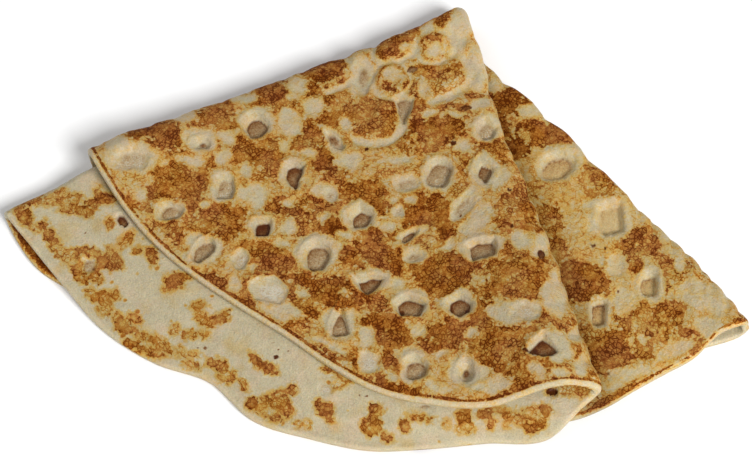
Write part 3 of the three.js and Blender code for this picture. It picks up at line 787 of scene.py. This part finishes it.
def placed(sheet, off):
    """Points off the middle of the sheet by this much towards its crusted side."""
    shifted = sheet["place"] + off[:, None] * sheet["normal"]
    plan = TIP + shifted[:, :1] * ALONG + shifted[:, 1:2] * ACROSS
    return np.concatenate([plan, np.maximum(shifted[:, 2:], 0)], 1)


def picture(sheet, off):
    """Where points off the middle of the sheet show in the picture."""
    back = np.array([0, -math.cos(ELEVATION), math.sin(ELEVATION)])
    up = np.array([0, math.sin(ELEVATION), math.cos(ELEVATION)])
    ray = placed(sheet, np.full(len(sheet["layer"]), off)) - (TARGET + DISTANCE * back)
    depth = -ray @ back
    return WIDTH / 2 + FOCAL * ray[:, 0] / depth, HEIGHT / 2 - FOCAL * (ray @ up) / depth


def in_spot(x, y, cx, cy, half_x, half_y, turn):
    """Place in a spot's own axes, over its half sizes."""
    c = math.cos(math.radians(turn))
    s = math.sin(math.radians(turn))
    dx = x - cx
    dy = y - cy
    return (dx * c + dy * s) / half_x, (dy * c - dx * s) / half_y


def depth_in(x, y, spot):
    """How far inside an oval spot a place is, below zero outside it."""
    a, b = in_spot(x, y, *spot)
    share = np.hypot(a, b) + TINY
    return (1 - share) * share / np.hypot(a / spot[2], b / spot[3])


def ring_share(x, y, spot, corners):
    """Distance from a spot's middle over its edge, for a round or many-sided spot."""
    a, b = in_spot(x, y, *spot)
    share = np.hypot(a, b)
    if abs(corners) > 1:
        sector = 2 * math.pi / abs(corners)
        start = math.pi / 2 if corners > 0 else math.pi / 2 + sector / 2
        turn = np.mod(np.arctan2(b, a) + start, sector) - sector / 2
        flat = math.sqrt(math.cos(sector / 2))
        share = share * (1 - STRAIGHT + STRAIGHT * np.cos(turn) / flat)
    return share


def ragged_place(x, y, share):
    """Picture places swayed to and fro, so that spots get uneven outlines."""
    return x + share * uneven(x, y, SWAY_X), y + share * uneven(x, y, SWAY_Y)


def brown_of(x, y, rows, scale):
    """How far inside the nearest browned patch, in millimetres, and that patch's shade."""
    best = np.full_like(x, FAR)
    shade = np.full_like(x, PLAIN_SHADE)
    for *spot, patch_shade in rows:
        inside = np.maximum(depth_in(x, y, spot) / scale, FAR)
        shade = np.where(inside + patch_shade > best + shade, patch_shade, shade)
        best = np.maximum(best, inside)
    return best, shade


def pale_of(x, y, rows, scale):
    """How far inside the nearest pale island, in millimetres."""
    best = np.full_like(x, FAR)
    for spot in rows:
        best = np.maximum(best, depth_in(x, y, spot) / scale)
    return best


def craters_of(x, y, rows, scale, sway, sink):
    """Relief, floor tone with painted shade, floor cover and painted light and shade on the walls of
    craters, and how far inside a pale collar.
    """
    relief, lip, tone, cover, lit = (np.zeros_like(x) for _ in range(5))
    nearest = np.full_like(x, TONE_REACH)
    collar_in = np.full_like(x, FAR)
    swayed = ragged_place(x, y, sway)
    for cx, cy, half_x, half_y, turn, collar, depth, corners, shade in rows:
        size = math.sqrt(half_x * half_y) / scale
        small = size < PINHOLE
        hard = max(ease(*HARD_DEPTH, depth), ease(*HARD_SHADE, shade))
        deep = min(depth * DEEPEN, DEEPEST) * (SOFT_DEPTH + (1 - SOFT_DEPTH) * hard)
        if small:
            deep = PINHOLE_DEPTH * depth
        cy = cy - sink * deep
        place_x, place_y = (x, y) if small else swayed
        spot = (cx, cy, HOLE_SHARE * half_x, HOLE_SHARE * half_y, turn)
        share = ring_share(place_x, place_y, spot, corners)

        behind = TO_BACK[0] * (cx - place_x) / half_x + TO_BACK[1] * (cy - place_y) / half_y
        behind = np.clip(behind / np.maximum(share, BACK_FROM), -1, 1)
        wide = COLLAR_SIDES[0] + COLLAR_SIDES[1] * behind
        hole = 1 - ease(FLOOR_EDGE[0] + FLOOR_EDGE[1] * hard, WALL_END, share)
        slope_end = SLOPE_START + wide * max(collar - SLOPE_START, SLOPE_LEAST)
        slope = 1 - ease(SLOPE_START, slope_end, share)
        relief = np.minimum(relief, -deep * (WALL_SHARE * hole + (1 - WALL_SHARE) * slope))
        lip = np.maximum(lip, LIP * deep * ridge(share - collar, LIP_WIDE) * wide)

        far_side = ease(*FAR_SIDE, behind * share)
        # Painted shade: the floor gets darker at the far side and near the walls
        painted_shade = (FAR_PAINTED_SHADE * shade + FAR_TONE) * far_side + RING_PAINTED_SHADE * shade * ease(*RING, share)
        tone = np.where(share < nearest, FLOOR_TONE * shade + painted_shade, tone)
        nearest = np.minimum(nearest, share)
        bowl, harder, at_back = HOLE_COVER
        inner = SPOT_COVER if corners == 1 else bowl + harder * hard - at_back * far_side
        cover = np.maximum(cover, 1 - ease(inner, COVER_END, share))
        if not small:
            # Painted light on each crater's back wall, painted shade on its front wall
            beside = np.where(behind > 0, LIT_BACK, LIT_FRONT)
            lit += deep / DEEPEST * ridge(share - beside, LIT_WIDE) * np.maximum(behind, LIT_LESS * behind)
            reach = min(1 - COLLAR_GAIN + COLLAR_GAIN * collar, COLLAR_MOST)
            reach = COLLAR_START + wide * (reach - COLLAR_START)
            collar_in = np.maximum(collar_in, COLLAR_STEEP * (reach - share) * size)
    return relief + lip, tone, cover, lit, collar_in


def pads_of(x, y, rows, scale):
    """Relief of raised pads, and how far inside a pad's pale moat and the line along its edge."""
    relief = np.zeros_like(x)
    moat_in = np.full_like(x, FAR)
    line_in = np.full_like(x, FAR)
    for *spot, height, facing, span in rows:
        share = ring_share(x, y, spot, 0)
        size = math.sqrt(spot[2] * spot[3]) / scale
        turn = np.degrees(np.arctan2(y - spot[1], x - spot[0])) - facing
        off = np.abs(np.mod(turn + 180, 360) - 180)
        hides = ease(span - PAD_TURN, span + PAD_TURN, off)
        relief += height * (1 - ease(*PAD_TOP, share)) * (PAD_BACK + (1 - PAD_BACK) * (1 - hides))
        relief -= height * ridge(share - MOAT_DIP[0], MOAT_DIP[1]) * (1 - hides)
        moat = MOAT_STEEP * (MOAT_PALE[1] - np.abs(share - MOAT_PALE[0])) * size
        moat_in = np.maximum(moat_in, moat - MOAT_STEEP * hides)
        line_in = np.maximum(line_in, PAD_LINE - np.abs(share - PAD_EDGE) * size - hides)
    return relief, moat_in, line_in


def scatter():
    """Seeded islands and craters for the crust that the picture does not show, on the flat sheet."""
    draw = np.random.default_rng(SCATTER_SEED)
    islands = []
    for _ in range(SCATTER_ISLANDS):
        x, y = draw.uniform(-SCATTER_REACH, SCATTER_REACH, 2)
        islands.append((x, y, draw.uniform(*ISLAND_LONG), draw.uniform(*ISLAND_WIDE), draw.uniform(0, 180)))
    craters = []
    for _ in range(SCATTER_CRATERS):
        x, y = draw.uniform(-SCATTER_REACH, SCATTER_REACH, 2)
        size = draw.uniform(*CRATER_SIZE)
        spot = (x, y, size, size * draw.uniform(*CRATER_OVAL), draw.uniform(0, 90))
        collar = draw.uniform(*CRATER_COLLAR)
        depth = draw.uniform(*CRATER_DEPTH)
        corners = int(draw.integers(*CRATER_CORNERS))
        craters.append((*spot, collar, depth, corners, draw.uniform(*CRATER_SHADE)))
    return islands, craters


def bumps(x, notches, height, drop):
    """Low arcs between notches, in millimetres."""
    total = np.full_like(x, -drop)
    for low, high in zip(notches, notches[1:]):
        f = np.clip((x - low) / (high - low), 0, 1)
        total += min(height * (high - low) / PX, BUMP_MOST) * 4 * f * (1 - f)
    return total


def fold_bumps(x, y, first, second):
    """Bumps along the three folded edges that show."""
    near_first = ridge(first, BUMP_REACH)
    near_second = ridge(second, BUMP_REACH)
    lower = near_first * ease(0, BUMP_CLEAR, second) * bumps(x, *LOWER_BUMPS)
    outer = near_second * ease(0, BUMP_CLEAR, -first) * bumps(x, *OUTER_BUMPS)
    upper = near_first * ease(0, BUMP_CLEAR, -second) * bumps(y, *UPPER_BUMPS)
    return lower + outer + upper


def shown_fields(x, y, brown, over, pale, half_pale, craters, pads):
    """Browning, paleness, shade, relief, floor tone with painted shade, cover and painted light and shade on
    crater walls, of crust that shows.
    """
    swayed = ragged_place(x, y, SPOT_SWAY)
    brown_in, shade = brown_of(*swayed, brown + over, PX)
    over_in, _ = brown_of(*swayed, over, PX)
    half_in = pale_of(*swayed, half_pale, PX)
    relief, tone, cover, lit, collar_in = craters_of(x, y, craters, PX, CRATER_SWAY, SINK)
    raised, moat_in, line_in = pads_of(*ragged_place(x, y, PAD_SWAY), pads, PX)
    brown_in = np.maximum(np.minimum(brown_in, -half_in - HALF_HALO), line_in)
    pale_in = np.maximum(np.maximum(pale_of(*swayed, pale, PX), collar_in), moat_in)
    pale_in = np.minimum(pale_in, np.maximum(-line_in, -LINE_CLEAR))
    pale_in = np.minimum(pale_in, -over_in - OVER_GAP)
    return np.stack([brown_in, pale_in, shade, relief + raised, tone, cover, lit])


def hidden_fields(x, y):
    """The same for crust that the picture does not show, by places on the flat sheet."""
    islands, craters = scatter()
    relief, tone, cover, _, collar_in = craters_of(x, y, craters, 1, 0, 0)
    brown_in = HIDDEN_BROWN + uneven(x, y, HIDDEN_WAVES)
    pale_in = np.maximum(pale_of(x, y, islands, 1), collar_in)
    shade = np.full_like(x, HIDDEN_SHADE)
    return np.stack([brown_in, pale_in, shade, relief, tone, cover, np.zeros_like(x)])


def rim_lines(sheet, brown_in, pale_in, shade):
    """Browning, paleness and shade with the pale rim and the dark lines along rim and fold."""
    layer = sheet["layer"]
    rim = sheet["to_rim"]
    flat = sheet["flat"].T
    pale_rim = PALE_RIM[layer]
    line = LINE_TOP - LINE_STEEP * np.abs(rim - pale_rim - LINE_OFF - uneven(*flat, LINE_SWAY))
    line += uneven(*flat, LINE_GAPS) - LINE_WEAKER[layer]
    shade = np.where((line > brown_in) & (rim < LINE_REACH), LINE_SHADE[layer], shade)
    brown_in = np.maximum(brown_in, line)
    pale_in = np.where((rim < LINE_OVER_PALE) & (line > 0), np.minimum(pale_in, -line), pale_in)
    brown_in = np.where((layer == 2) & (rim < pale_rim), FAR, brown_in)

    in_gap = (layer == 3) & (sheet["angle"] < GAP_ANGLE)
    brown_in = np.where(in_gap, GAP_BROWN, brown_in)
    shade = np.where(in_gap, GAP_SHADE, shade)
    at_rim = PALE_RIM_STEEP * (pale_rim - rim)
    pale_in = np.where(in_gap, GAP_PALE - rim, np.maximum(pale_in, at_rim))
    # A dark line along the outer fold's edge: browning with painted shade
    half, off = FOLD_LINE
    along_fold = half - np.abs(sheet["past_second"] + off) + uneven(*flat, FOLD_GAPS)
    along_fold = np.where(sheet["past_first"] < 0, along_fold, FAR)
    shade = np.where(along_fold > brown_in, FOLD_SHADE, shade)
    return np.maximum(brown_in, along_fold), pale_in - PALE_TRIM[layer], shade


def crust_fields(sheet):
    """Relief of the crusted side, its browning, and its crater floors with their lightness, which holds
    painted light and shade on the crater walls.
    """
    first = sheet["past_first"]
    second = sheet["past_second"]
    flat = sheet["flat"].T
    x, y = picture(sheet, THICK / 2)
    upper = shown_fields(x, y, UPPER_BROWN, UPPER_OVER, UPPER_PALE, UPPER_HALF, UPPER_CRATERS, UPPER_PADS)
    lower = shown_fields(x, y, LOWER_BROWN, [], LOWER_PALE, LOWER_HALF, LOWER_CRATERS, [])
    hidden = hidden_fields(*flat)

    to_under = ease(*ROUND_SECOND, second)
    over_first = np.where(first < 0, 0, ease(*OVER_FIRST, first))
    share = np.maximum(over_first, to_under)
    upper = upper * (1 - share) + hidden * share
    under_first = 1 - ease(*UNDER_FIRST, first)
    share = np.where(first < 0, np.maximum(under_first, 1 - to_under), under_first)
    lower = lower * (1 - share) + hidden * share
    fields = np.where(second < 0, upper, np.where(first < HIDDEN_PAST, hidden, lower))
    brown_in, pale_in, shade, relief, tone, cover, lit = fields

    relief = relief - ISLAND_DIP * ease(*ISLAND_SLOPE, pale_in)
    relief = relief + uneven(*flat, CRUST_ROUGH) + fold_bumps(x, y, first, second)
    browning = [*rim_lines(sheet, brown_in, pale_in, shade), BASE[sheet["layer"]]]
    # The fourth number is painted light and shade on the crater walls
    floor = [tone, cover, np.zeros_like(x), WALL_PAINTED_LIGHT * lit]
    return np.maximum(relief, THINNEST - THICK), np.stack(browning, -1), np.stack(floor, -1)


def pale_fields(sheet):
    """The same for the pale side."""
    layer = sheet["layer"]
    x, y = picture(sheet, -THICK / 2)
    on_tongue = (layer == 2) | (layer == 1) & (sheet["past_first"] > -TONGUE_ROUND)
    brown_in, shade = brown_of(*ragged_place(x, y, BLOTCH_SWAY), TONGUE_BROWN, PX)
    brown_in = np.where(on_tongue, brown_in - TONGUE_SHRINK, FAR)
    relief, tone, cover, lit, _ = craters_of(x, y, TONGUE_CRATERS, PX, PALE_CRATER_SWAY, SINK)
    relief = relief * on_tongue + uneven(*sheet["flat"].T, PALE_ROUGH)
    browning = [brown_in, np.full_like(x, FAR), shade, np.zeros_like(x)]
    # The fourth number is painted light and shade on the crater walls
    floor = [tone, cover * on_tongue, np.ones_like(x), WALL_PAINTED_LIGHT * lit * on_tongue]
    return relief, np.stack(browning, -1), np.stack(floor, -1)


def line_places(below, above):
    """Mesh lines across a fold from rim to rim, close together round the crease and at the rims."""
    sides = []
    for count in (below, above):
        crease = np.linspace(0, CREASE_SHARE, CREASE_LINES + 1)
        middle = np.linspace(CREASE_SHARE, 1 - RIM_SHARE, count - CREASE_LINES - BLOCK + 1)
        rim = 1 - RIM_SHARE * np.linspace(1, 0, BLOCK + 1) ** RIM_CLOSER
        sides.append(np.concatenate([crease, middle[1:], rim[1:]]))
    return np.concatenate([-sides[0][::-1], sides[1][1:]])


def rounded(to_rim, width, share):
    """Half the sheet's thickness, less towards the rim."""
    x = np.clip(to_rim / width, 0, 1)
    return THICK / 2 * (1 - share * (1 - np.sqrt(1 - (1 - x) ** 2)))


def fine_cells(us, vs):
    """Which coarse cells of each side show, and so are split into fine ones."""
    grid = np.meshgrid(us[BLOCK // 2::BLOCK], vs[BLOCK // 2::BLOCK], indexing="ij")
    sheet = folded(*(a.ravel() for a in grid))
    layer = sheet["layer"]
    radius = sheet["radius"]
    angle = sheet["angle"]
    first = sheet["past_first"]
    second = sheet["past_second"]
    in_gap = (angle < GAP_ANGLE) & (radius > GAP_FROM)
    crust = (layer == 1) | (layer == 3) & ((angle >= UNDER_UPPER * UPPER_WEDGE) | in_gap)
    crust |= (np.abs(first) < FOLD_SHOWS) & (layer != 3) | (np.abs(second) < FOLD_SHOWS) & (first < 0)
    beyond = radius > rim_radius(1, np.minimum(angle, UPPER_WEDGE)) - PAST_RIM
    in_loop = (angle > LOOP_ANGLE * UPPER_WEDGE) & (radius > LOOP_FROM)
    pale = (layer == 2) & (beyond | in_loop)
    pale |= (layer == 1) & (in_loop & (radius > LOOP_INSIDE) | (sheet["to_rim"] < RIM_SHOWS))
    pale |= (layer == 4) & (radius > LOWER_LOOP_FROM) & (angle > LOWER_LOOP_ANGLE * LOWER_WEDGE)
    return crust.reshape(grid[0].shape), pale.reshape(grid[0].shape)


def coarse_faces(fine, either, rows):
    """A fan of triangles in each coarse cell, split along the sides that it shares with fine cells."""
    sides = [
        ((0, 0), (0, 1), (-1, 0)),
        ((0, 1), (1, 0), (0, 1)),
        ((1, 1), (0, -1), (1, 0)),
        ((1, 0), (-1, 0), (0, -1)),
    ]
    cells_i, cells_j = fine.shape
    faces = []
    for i, j in zip(*np.nonzero(~fine)):
        ring = []
        for (start_i, start_j), (way_i, way_j), (off_i, off_j) in sides:
            inside = 0 <= i + off_i < cells_i and 0 <= j + off_j < cells_j
            is_split = fine[i + off_i, j + off_j] if inside else either[i, j]
            for n in range(0, BLOCK, 1 if is_split else BLOCK):
                ring.append(((i + start_i) * BLOCK + way_i * n) * rows + (j + start_j) * BLOCK + way_j * n)
        middle = (i * BLOCK + BLOCK // 2) * rows + j * BLOCK + BLOCK // 2
        faces += [(middle, a, b) for a, b in zip(ring, ring[1:] + ring[:1])]
    return np.array(faces)


def sheet_faces(crust, pale, columns, rows):
    """Triangles of both sides and then of the band along the rim, by grid places, and the band's count."""
    size = columns * rows
    either = crust | pale
    step_i, step_j = np.divmod(np.arange(BLOCK * BLOCK), BLOCK)
    triangles = []
    for back, fine in enumerate((crust, pale)):
        i, j = np.nonzero(fine)
        a = ((i[:, None] * BLOCK + step_i) * rows + j[:, None] * BLOCK + step_j).ravel()
        quads = np.stack([a, a + 1, a + rows + 1, a + rows], -1)
        fans = coarse_faces(fine, either, rows)
        if back:
            quads = quads[:, ::-1]
            fans = fans[:, [0, 2, 1]]
        triangles += [faces + back * size for faces in (quads[:, [0, 1, 2]], quads[:, [0, 2, 3]], fans)]
    band = []
    for cells, start, step, way in (
        (either[:, 0], 0, rows, 1),
        (either[:, -1], rows - 1, rows, -1),
        (either[0], 0, 1, -1),
        (either[-1], (columns - 1) * rows, 1, 1),
    ):
        for cell, fine in enumerate(cells):
            stops = np.arange(0, BLOCK + 1, 1 if fine else BLOCK) + cell * BLOCK
            ring = (start + step * stops)[::way]
            band.append(np.stack([ring[:-1], ring[1:]]))
    near, far = np.concatenate(band, 1)
    triangles += [np.stack([near, far, far + size], -1), np.stack([near, far + size, near + size], -1)]
    return np.concatenate(triangles), 2 * len(near)


def lightness(sheet):
    """How light each place is: by its layer and near the tip, with painted light at the rim and on the first
    fold, and painted shade beside the upper layers.
    """
    layer = sheet["layer"]
    near_tip = ease(*TIP_REACH, sheet["radius"])
    at_rim = 1 - ease(*RIM_REACH, sheet["to_rim"])
    steep = 1 - np.clip(sheet["normal"][:, 2], 0, 1)
    on_fold = steep * (layer == 1) * (sheet["past_first"] > -FOLD_REACH)
    past_upper = sheet["radius"] * np.sin(sheet["angle"] - UPPER_WEDGE)
    beside = ridge(past_upper, BESIDE_REACH) * (layer == 3)
    # Painted light at the rim and on the fold's steep side; painted shade beside the upper layers below
    lighter = TIP_LIGHTER * near_tip + RIM_PAINTED_LIGHT * at_rim + FOLD_PAINTED_LIGHT * on_fold
    return LIGHTER[layer] + lighter - BESIDE_PAINTED_SHADE * beside


def bake_place(flat, back):
    """Place on the bake's map: the crusted side on the left, the pale side on the right."""
    share = (flat - UV_MIDDLE) / UV_SPAN + 0.5
    wide = 1 - UV_CRUST if back else UV_CRUST
    return np.stack([share[:, 0] * wide + UV_CRUST * back, share[:, 1]], -1)


def pancake_mesh():
    """The folded sheet as one closed mesh, with its browning at each point."""
    us = line_places(UPPER_LINES, LOWER_LINES)
    vs = line_places(SHORT_LINES, LONG_LINES)
    size = len(us) * len(vs)
    triangles, band_count = sheet_faces(*fine_cells(us, vs), len(us), len(vs))
    used, corners = np.unique(triangles, return_inverse=True)
    triangles = corners.reshape(-1, 3)
    column, row = np.divmod(used % size, len(vs))
    sheet = folded(us[column], vs[row])

    points = np.zeros((len(used), 3))
    browning = np.zeros((len(used), 4))
    floor = np.zeros((len(used), 4))
    map_place = np.zeros((len(used), 2))
    for back, way, fields, rounding, fade in (
        (0, 1, crust_fields, CRUST_ROUND, CRUST_FADE),
        (1, -1, pale_fields, PALE_ROUND, PALE_FADE),
    ):
        here = (used >= size) == back
        side = {key: value[here] for key, value in sheet.items()}
        relief, browning[here], floor[here] = fields(side)
        relief = relief * ease(*fade, side["to_rim"])
        points[here] = placed(side, way * (rounded(side["to_rim"], *rounding) + relief))
        map_place[here] = bake_place(side["flat"], back)
    # Lightness, with its painted light and shade, goes in the floor's fourth number
    floor[:, 3] += lightness(sheet)
    outward = sheet["flat"] * (1 + UV_BAND / np.maximum(sheet["radius"], 1))[:, None]
    band_place = np.where((used >= size)[:, None], bake_place(outward, 0), map_place)

    mesh = bpy.data.meshes.new("pancake")
    mesh.from_pydata((points * MM).tolist(), [], triangles.tolist())
    for name, values in (("browning", browning), ("floor", floor)):
        numbers = mesh.attributes.new(name, "FLOAT_COLOR", "POINT")
        numbers.data.foreach_set("color", values.astype(np.float32).ravel())
    loops = map_place[triangles]
    loops[-band_count:] = band_place[triangles[-band_count:]]
    bake = mesh.uv_layers.new(name="OFBake")
    bake.uv.foreach_set("vector", loops.astype(np.float32).ravel())
    mesh.polygons.foreach_set("use_smooth", np.ones(len(triangles), bool))
    mesh.update()
    return mesh


def linear(red, green, blue):
    """A colour as seen on screen, in linear light."""
    shares = [c / 255 for c in (red, green, blue)]
    return tuple(c / 12.92 if c <= 0.04045 else ((c + 0.055) / 1.055) ** 2.4 for c in shares) + (1.0,)


def give(tree, node, inputs):
    """Link or set a node's inputs."""
    for key, value in inputs.items():
        if isinstance(value, Field):
            value = value.socket
        if isinstance(value, bpy.types.NodeSocket):
            tree.links.new(value, node.inputs[key])
        else:
            node.inputs[key].default_value = value


def add_node(tree, kind, inputs, **settings):
    node = tree.nodes.new(kind)
    for name, value in settings.items():
        setattr(node, name, value)
    give(tree, node, inputs)
    return node


class Field:
    """A number over the surface, worked out by a material's nodes."""

    def __init__(self, socket):
        self.socket = socket

    def node(self, kind, inputs, **settings):
        return add_node(self.socket.id_data, kind, inputs, **settings)

    def calc(self, operation, *values):
        return Field(self.node("ShaderNodeMath", dict(enumerate(values)), operation=operation).outputs[0])

    def __add__(self, other):
        return self.calc("ADD", self, other)

    def __sub__(self, other):
        return self.calc("SUBTRACT", self, other)

    def __rsub__(self, other):
        return self.calc("SUBTRACT", other, self)

    def __mul__(self, other):
        return self.calc("MULTIPLY", self, other)

    def __abs__(self):
        return self.calc("ABSOLUTE", self)

    def least(self, other):
        return self.calc("MINIMUM", self, other)

    def most(self, other):
        return self.calc("MAXIMUM", self, other)

    def step(self, low, high, bottom=0.0, top=1.0):
        """A smooth step from bottom at low to top at high."""
        inputs = {0: self, 1: low, 2: high, 3: bottom, 4: top}
        return Field(self.node("ShaderNodeMapRange", inputs, interpolation_type="SMOOTHSTEP").outputs[0])

    def blend(self, below, above):
        """From one colour at 0 to another at 1."""
        return self.node("ShaderNodeMix", {0: self, 6: below, 7: above}, data_type="RGBA").outputs[2]

    def ramp(self, stops):
        """A colour through these stops."""
        node = self.node("ShaderNodeValToRGB", {0: self})
        line = node.color_ramp.elements
        while len(line) < len(stops):
            line.new(0.5)
        for element, (place, colour) in zip(line, stops):
            element.position = place
            element.color = linear(*colour)
        return node.outputs[0]


def weighed(weights, *fields):
    """The sum of fields, each times its weight."""
    total = fields[0] * weights[0]
    for weight, field in zip(weights[1:], fields[1:]):
        total = total + field * weight
    return total


def kept_at_points(tree, name):
    """The four numbers that the mesh keeps at each point under this name."""
    node = add_node(tree, "ShaderNodeAttribute", {}, attribute_name=name)
    parts = add_node(tree, "ShaderNodeSeparateColor", {0: node.outputs["Color"]}).outputs
    return [Field(part) for part in (*parts, node.outputs["Alpha"])]


def grain(place, size_mm, detail, rough=0.55):
    """Smooth noise of about -0.5 to 0.5, with grains of this size."""
    inputs = {"Vector": place, "Scale": 1 / (size_mm * MM), "Detail": detail, "Roughness": rough}
    return Field(add_node(place.id_data, "ShaderNodeTexNoise", inputs).outputs["Fac"]) - 0.5


def cells_at(place, scale, feature="F1"):
    """Cells, this many to a metre."""
    inputs = {"Vector": place, "Scale": scale}
    return add_node(place.id_data, "ShaderNodeTexVoronoi", inputs, feature=feature)


def value_of(cells):
    """A number from -0.5 to 0.5 of each cell's own."""
    inputs = {0: cells.outputs["Color"]}
    return Field(add_node(cells.id_data, "ShaderNodeSeparateColor", inputs).outputs[0]) - 0.5


def vector(tree, operation, inputs):
    """One step of arithmetic on places or colours."""
    return add_node(tree, "ShaderNodeVectorMath", inputs, operation=operation).outputs[0]


def crust_material():
    """Batter fried from pale to brown, with its crater floors and its pale side."""
    made = bpy.data.materials.new("fried_batter")
    made.use_nodes = True
    tree = made.node_tree
    place = add_node(tree, "ShaderNodeTexCoord", {}).outputs["Object"]
    brown_in, pale_in, shade, base = kept_at_points(tree, "browning")
    tone, cover, pale_sheet, light = kept_at_points(tree, "floor")

    def by_side(crust, pale):
        """One value on the crust and another on the pale side."""
        return pale_sheet.step(0.0, 1.0, crust, pale)

    broad, ragged, fine, speck = (grain(place, *kind) for kind in (BROAD, RAGGED, FINE, SPECK))
    noise = add_node(tree, "ShaderNodeTexNoise", {"Vector": place, "Scale": BENDS, "Detail": 1.0})
    bend = vector(tree, "SCALE", {0: noise.outputs["Color"], 3: BEND})
    bent = vector(tree, "ADD", {0: place, 1: bend})
    each = value_of(cells_at(bent, CELLS))
    clump = value_of(cells_at(bent, CLUMPS))
    seam = Field(cells_at(bent, CELLS, "DISTANCE_TO_EDGE").outputs["Distance"]).step(*SEAM)
    seam = seam * by_side(*SEAM_SIDES) * (broad + clump).step(*SEAM_PATCHES)

    sway = weighed(SWAY, broad, ragged, fine) * by_side(*SWAY_SIDES) + each * CELL_SWAY
    pale_side = pale_in + sway * PALE_SWAY
    brown_side = (brown_in + BROWN_SPREAD).least(-PALE_HALO - pale_in) + sway
    brown_side = brown_side * by_side(*EDGE_SIDES)
    brown = weighed(BROWN_SHARES, brown_side.step(*BROWN_EDGE), brown_side.step(*BROWN_FADE))
    pale = weighed(PALE_SHARES, pale_side.step(*ISLAND_EDGE), pale_side.step(*ISLAND_FADE))

    line = brown_side.step(*LINE_OUTSIDE) * brown_side.step(*LINE_INSIDE)
    curl = abs(grain(place, *CURLS)).step(*CURL)
    mottle = weighed(MOTTLE, broad, ragged, fine, each, clump, seam, curl) - MOTTLE_MEAN
    mottle = mottle + each.step(*LIGHT_CELL) * by_side(*CELL_SIDES)
    hollow = brown_side.step(*HOLLOW) * pale_sheet
    crusted = shade * by_side(*BROWN_SIDES) + mottle + line * BROWN_LINE + hollow

    veins = weighed(VEINS, broad, ragged, fine) * base
    crack = abs(grain(place, *CRACKS)).step(*CRACK) * base.step(*CRACK_BASE)
    dense = (ragged * DENSE + broad).step(*DENSE_PATCHES) * base.step(*DENSE_BASE)
    dots = cells_at(bent, DOTS)
    dot = Field(dots.outputs["Distance"]).step(*DOT) * value_of(dots).step(*DOT_CHOSEN)
    marks = brown_side.step(*FRINGE) + grain(place, *CLOUDS).step(*CLOUD) + dot
    ground = weighed(GROUND, base, crack, seam * dense) + veins + marks * pale_sheet

    washed = (ragged * WASH + broad).step(*WASH_PATCHES) * base.step(*WASH_BASE)
    kept = 1.0 - pale * washed.most(pale_sheet)
    toast = (ground * (1.0 - brown) + crusted * brown) * kept
    ruddy = grain(place, *RUDDY_PATCHES).step(*RUDDY_SHARE) * toast.step(*RUDDY_TOAST)
    drift = (grain(place, *DRIFT) + base.step(*DRIFT_BASE)).step(*DRIFT_SHARE)
    colour = ruddy.blend(toast.ramp(TOAST), toast.ramp(RUDDY))
    colour = vector(tree, "MULTIPLY", {0: colour, 1: drift.blend(DRIFT_WARM, DRIFT_COOL)})
    # light carries lightness with painted light and shade from the rim, the first fold, crater walls and
    # beside the upper layers
    clouded = (weighed(CLOUDED, broad, fine, speck) + ALBEDO) * light
    colour = vector(tree, "SCALE", {0: colour, 3: clouded})

    # Painted shade: a darker band on crater floors just inside the hole's edge
    band = cover.step(*BAND_INSIDE) * cover.step(*BAND_OUTSIDE) * (broad + ragged).step(*BAND_PATCHES)
    floor_tone = tone + band * tone * tone.step(*BAND_TONE) + weighed(FLOOR_GRAIN, ragged, speck)
    golden = base.step(*GOLDEN_BASE) * (1.0 - pale_sheet)
    below = golden.blend(floor_tone.ramp(FLOORS), floor_tone.ramp(GOLDEN_FLOORS))

    wet = 1.0 - toast.step(*DRY)
    raised = weighed(RAISED, fine, seam) * toast.step(*CRISP) + weighed(LUMPS, ragged, fine) * wet
    bump = add_node(tree, "ShaderNodeBump", {"Height": raised, **BUMP})
    give(tree, tree.nodes["Principled BSDF"], {
        **BATTER,
        "Base Color": cover.step(*FLOOR_COVER).blend(colour, below),
        "Roughness": fine * ROUGH_GRAIN + ROUGH_DRY - wet * WET_SMOOTHER,
        "Coat Weight": wet * WET_COAT,
        "Normal": bump.outputs[0],
    })
    return made


def show(name, data):
    """A new object in the scene."""
    thing = bpy.data.objects.new(name, data)
    bpy.context.scene.collection.objects.link(thing)
    return thing


def studio():
    """Pale floor, soft light and the picture's camera."""
    mesh = bpy.data.meshes.new("floor")
    corners = [(-1, -1), (1, -1), (1, 1), (-1, 1)]
    mesh.from_pydata([(x * FLOOR_HALF, y * FLOOR_HALF, -FLOOR_DROP) for x, y in corners], [], [(0, 1, 2, 3)])
    paint = bpy.data.materials.new("floor_white")
    paint.use_nodes = True
    give(paint.node_tree, paint.node_tree.nodes["Principled BSDF"], FLOOR_PAINT)
    mesh.materials.append(paint)
    floor = show("floor", mesh)

    world = bpy.data.worlds.new("studio")
    world.use_nodes = True
    give(world.node_tree, world.node_tree.nodes["Background"], SKY)
    bpy.context.scene.world = world
    for name, (place, size, power) in LIGHTS.items():
        data = bpy.data.lights.new(name, "AREA")
        data.energy = power
        data.size = size
        lamp = show(name, data)
        lamp.location = place
        lamp.rotation_euler = (-Vector(place)).to_track_quat("-Z", "Y").to_euler()
    bpy.context.scene.view_settings.view_transform = "Standard"

    data = bpy.data.cameras.new("camera")
    data.sensor_width = SENSOR
    data.sensor_fit = "HORIZONTAL"
    data.lens = FOCAL / WIDTH * SENSOR
    data.clip_start = NEAREST
    camera = show("camera", data)
    back = Vector((0, -math.cos(ELEVATION), math.sin(ELEVATION)))
    camera.location = Vector(TARGET * MM) + back * DISTANCE * MM
    camera.rotation_euler = (math.pi / 2 - ELEVATION, 0, 0)
    bpy.context.scene.camera = camera


pancake = show("pancake", pancake_mesh())
pancake.data.materials.append(crust_material())
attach(pancake, "root")
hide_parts(NODE)
studio()
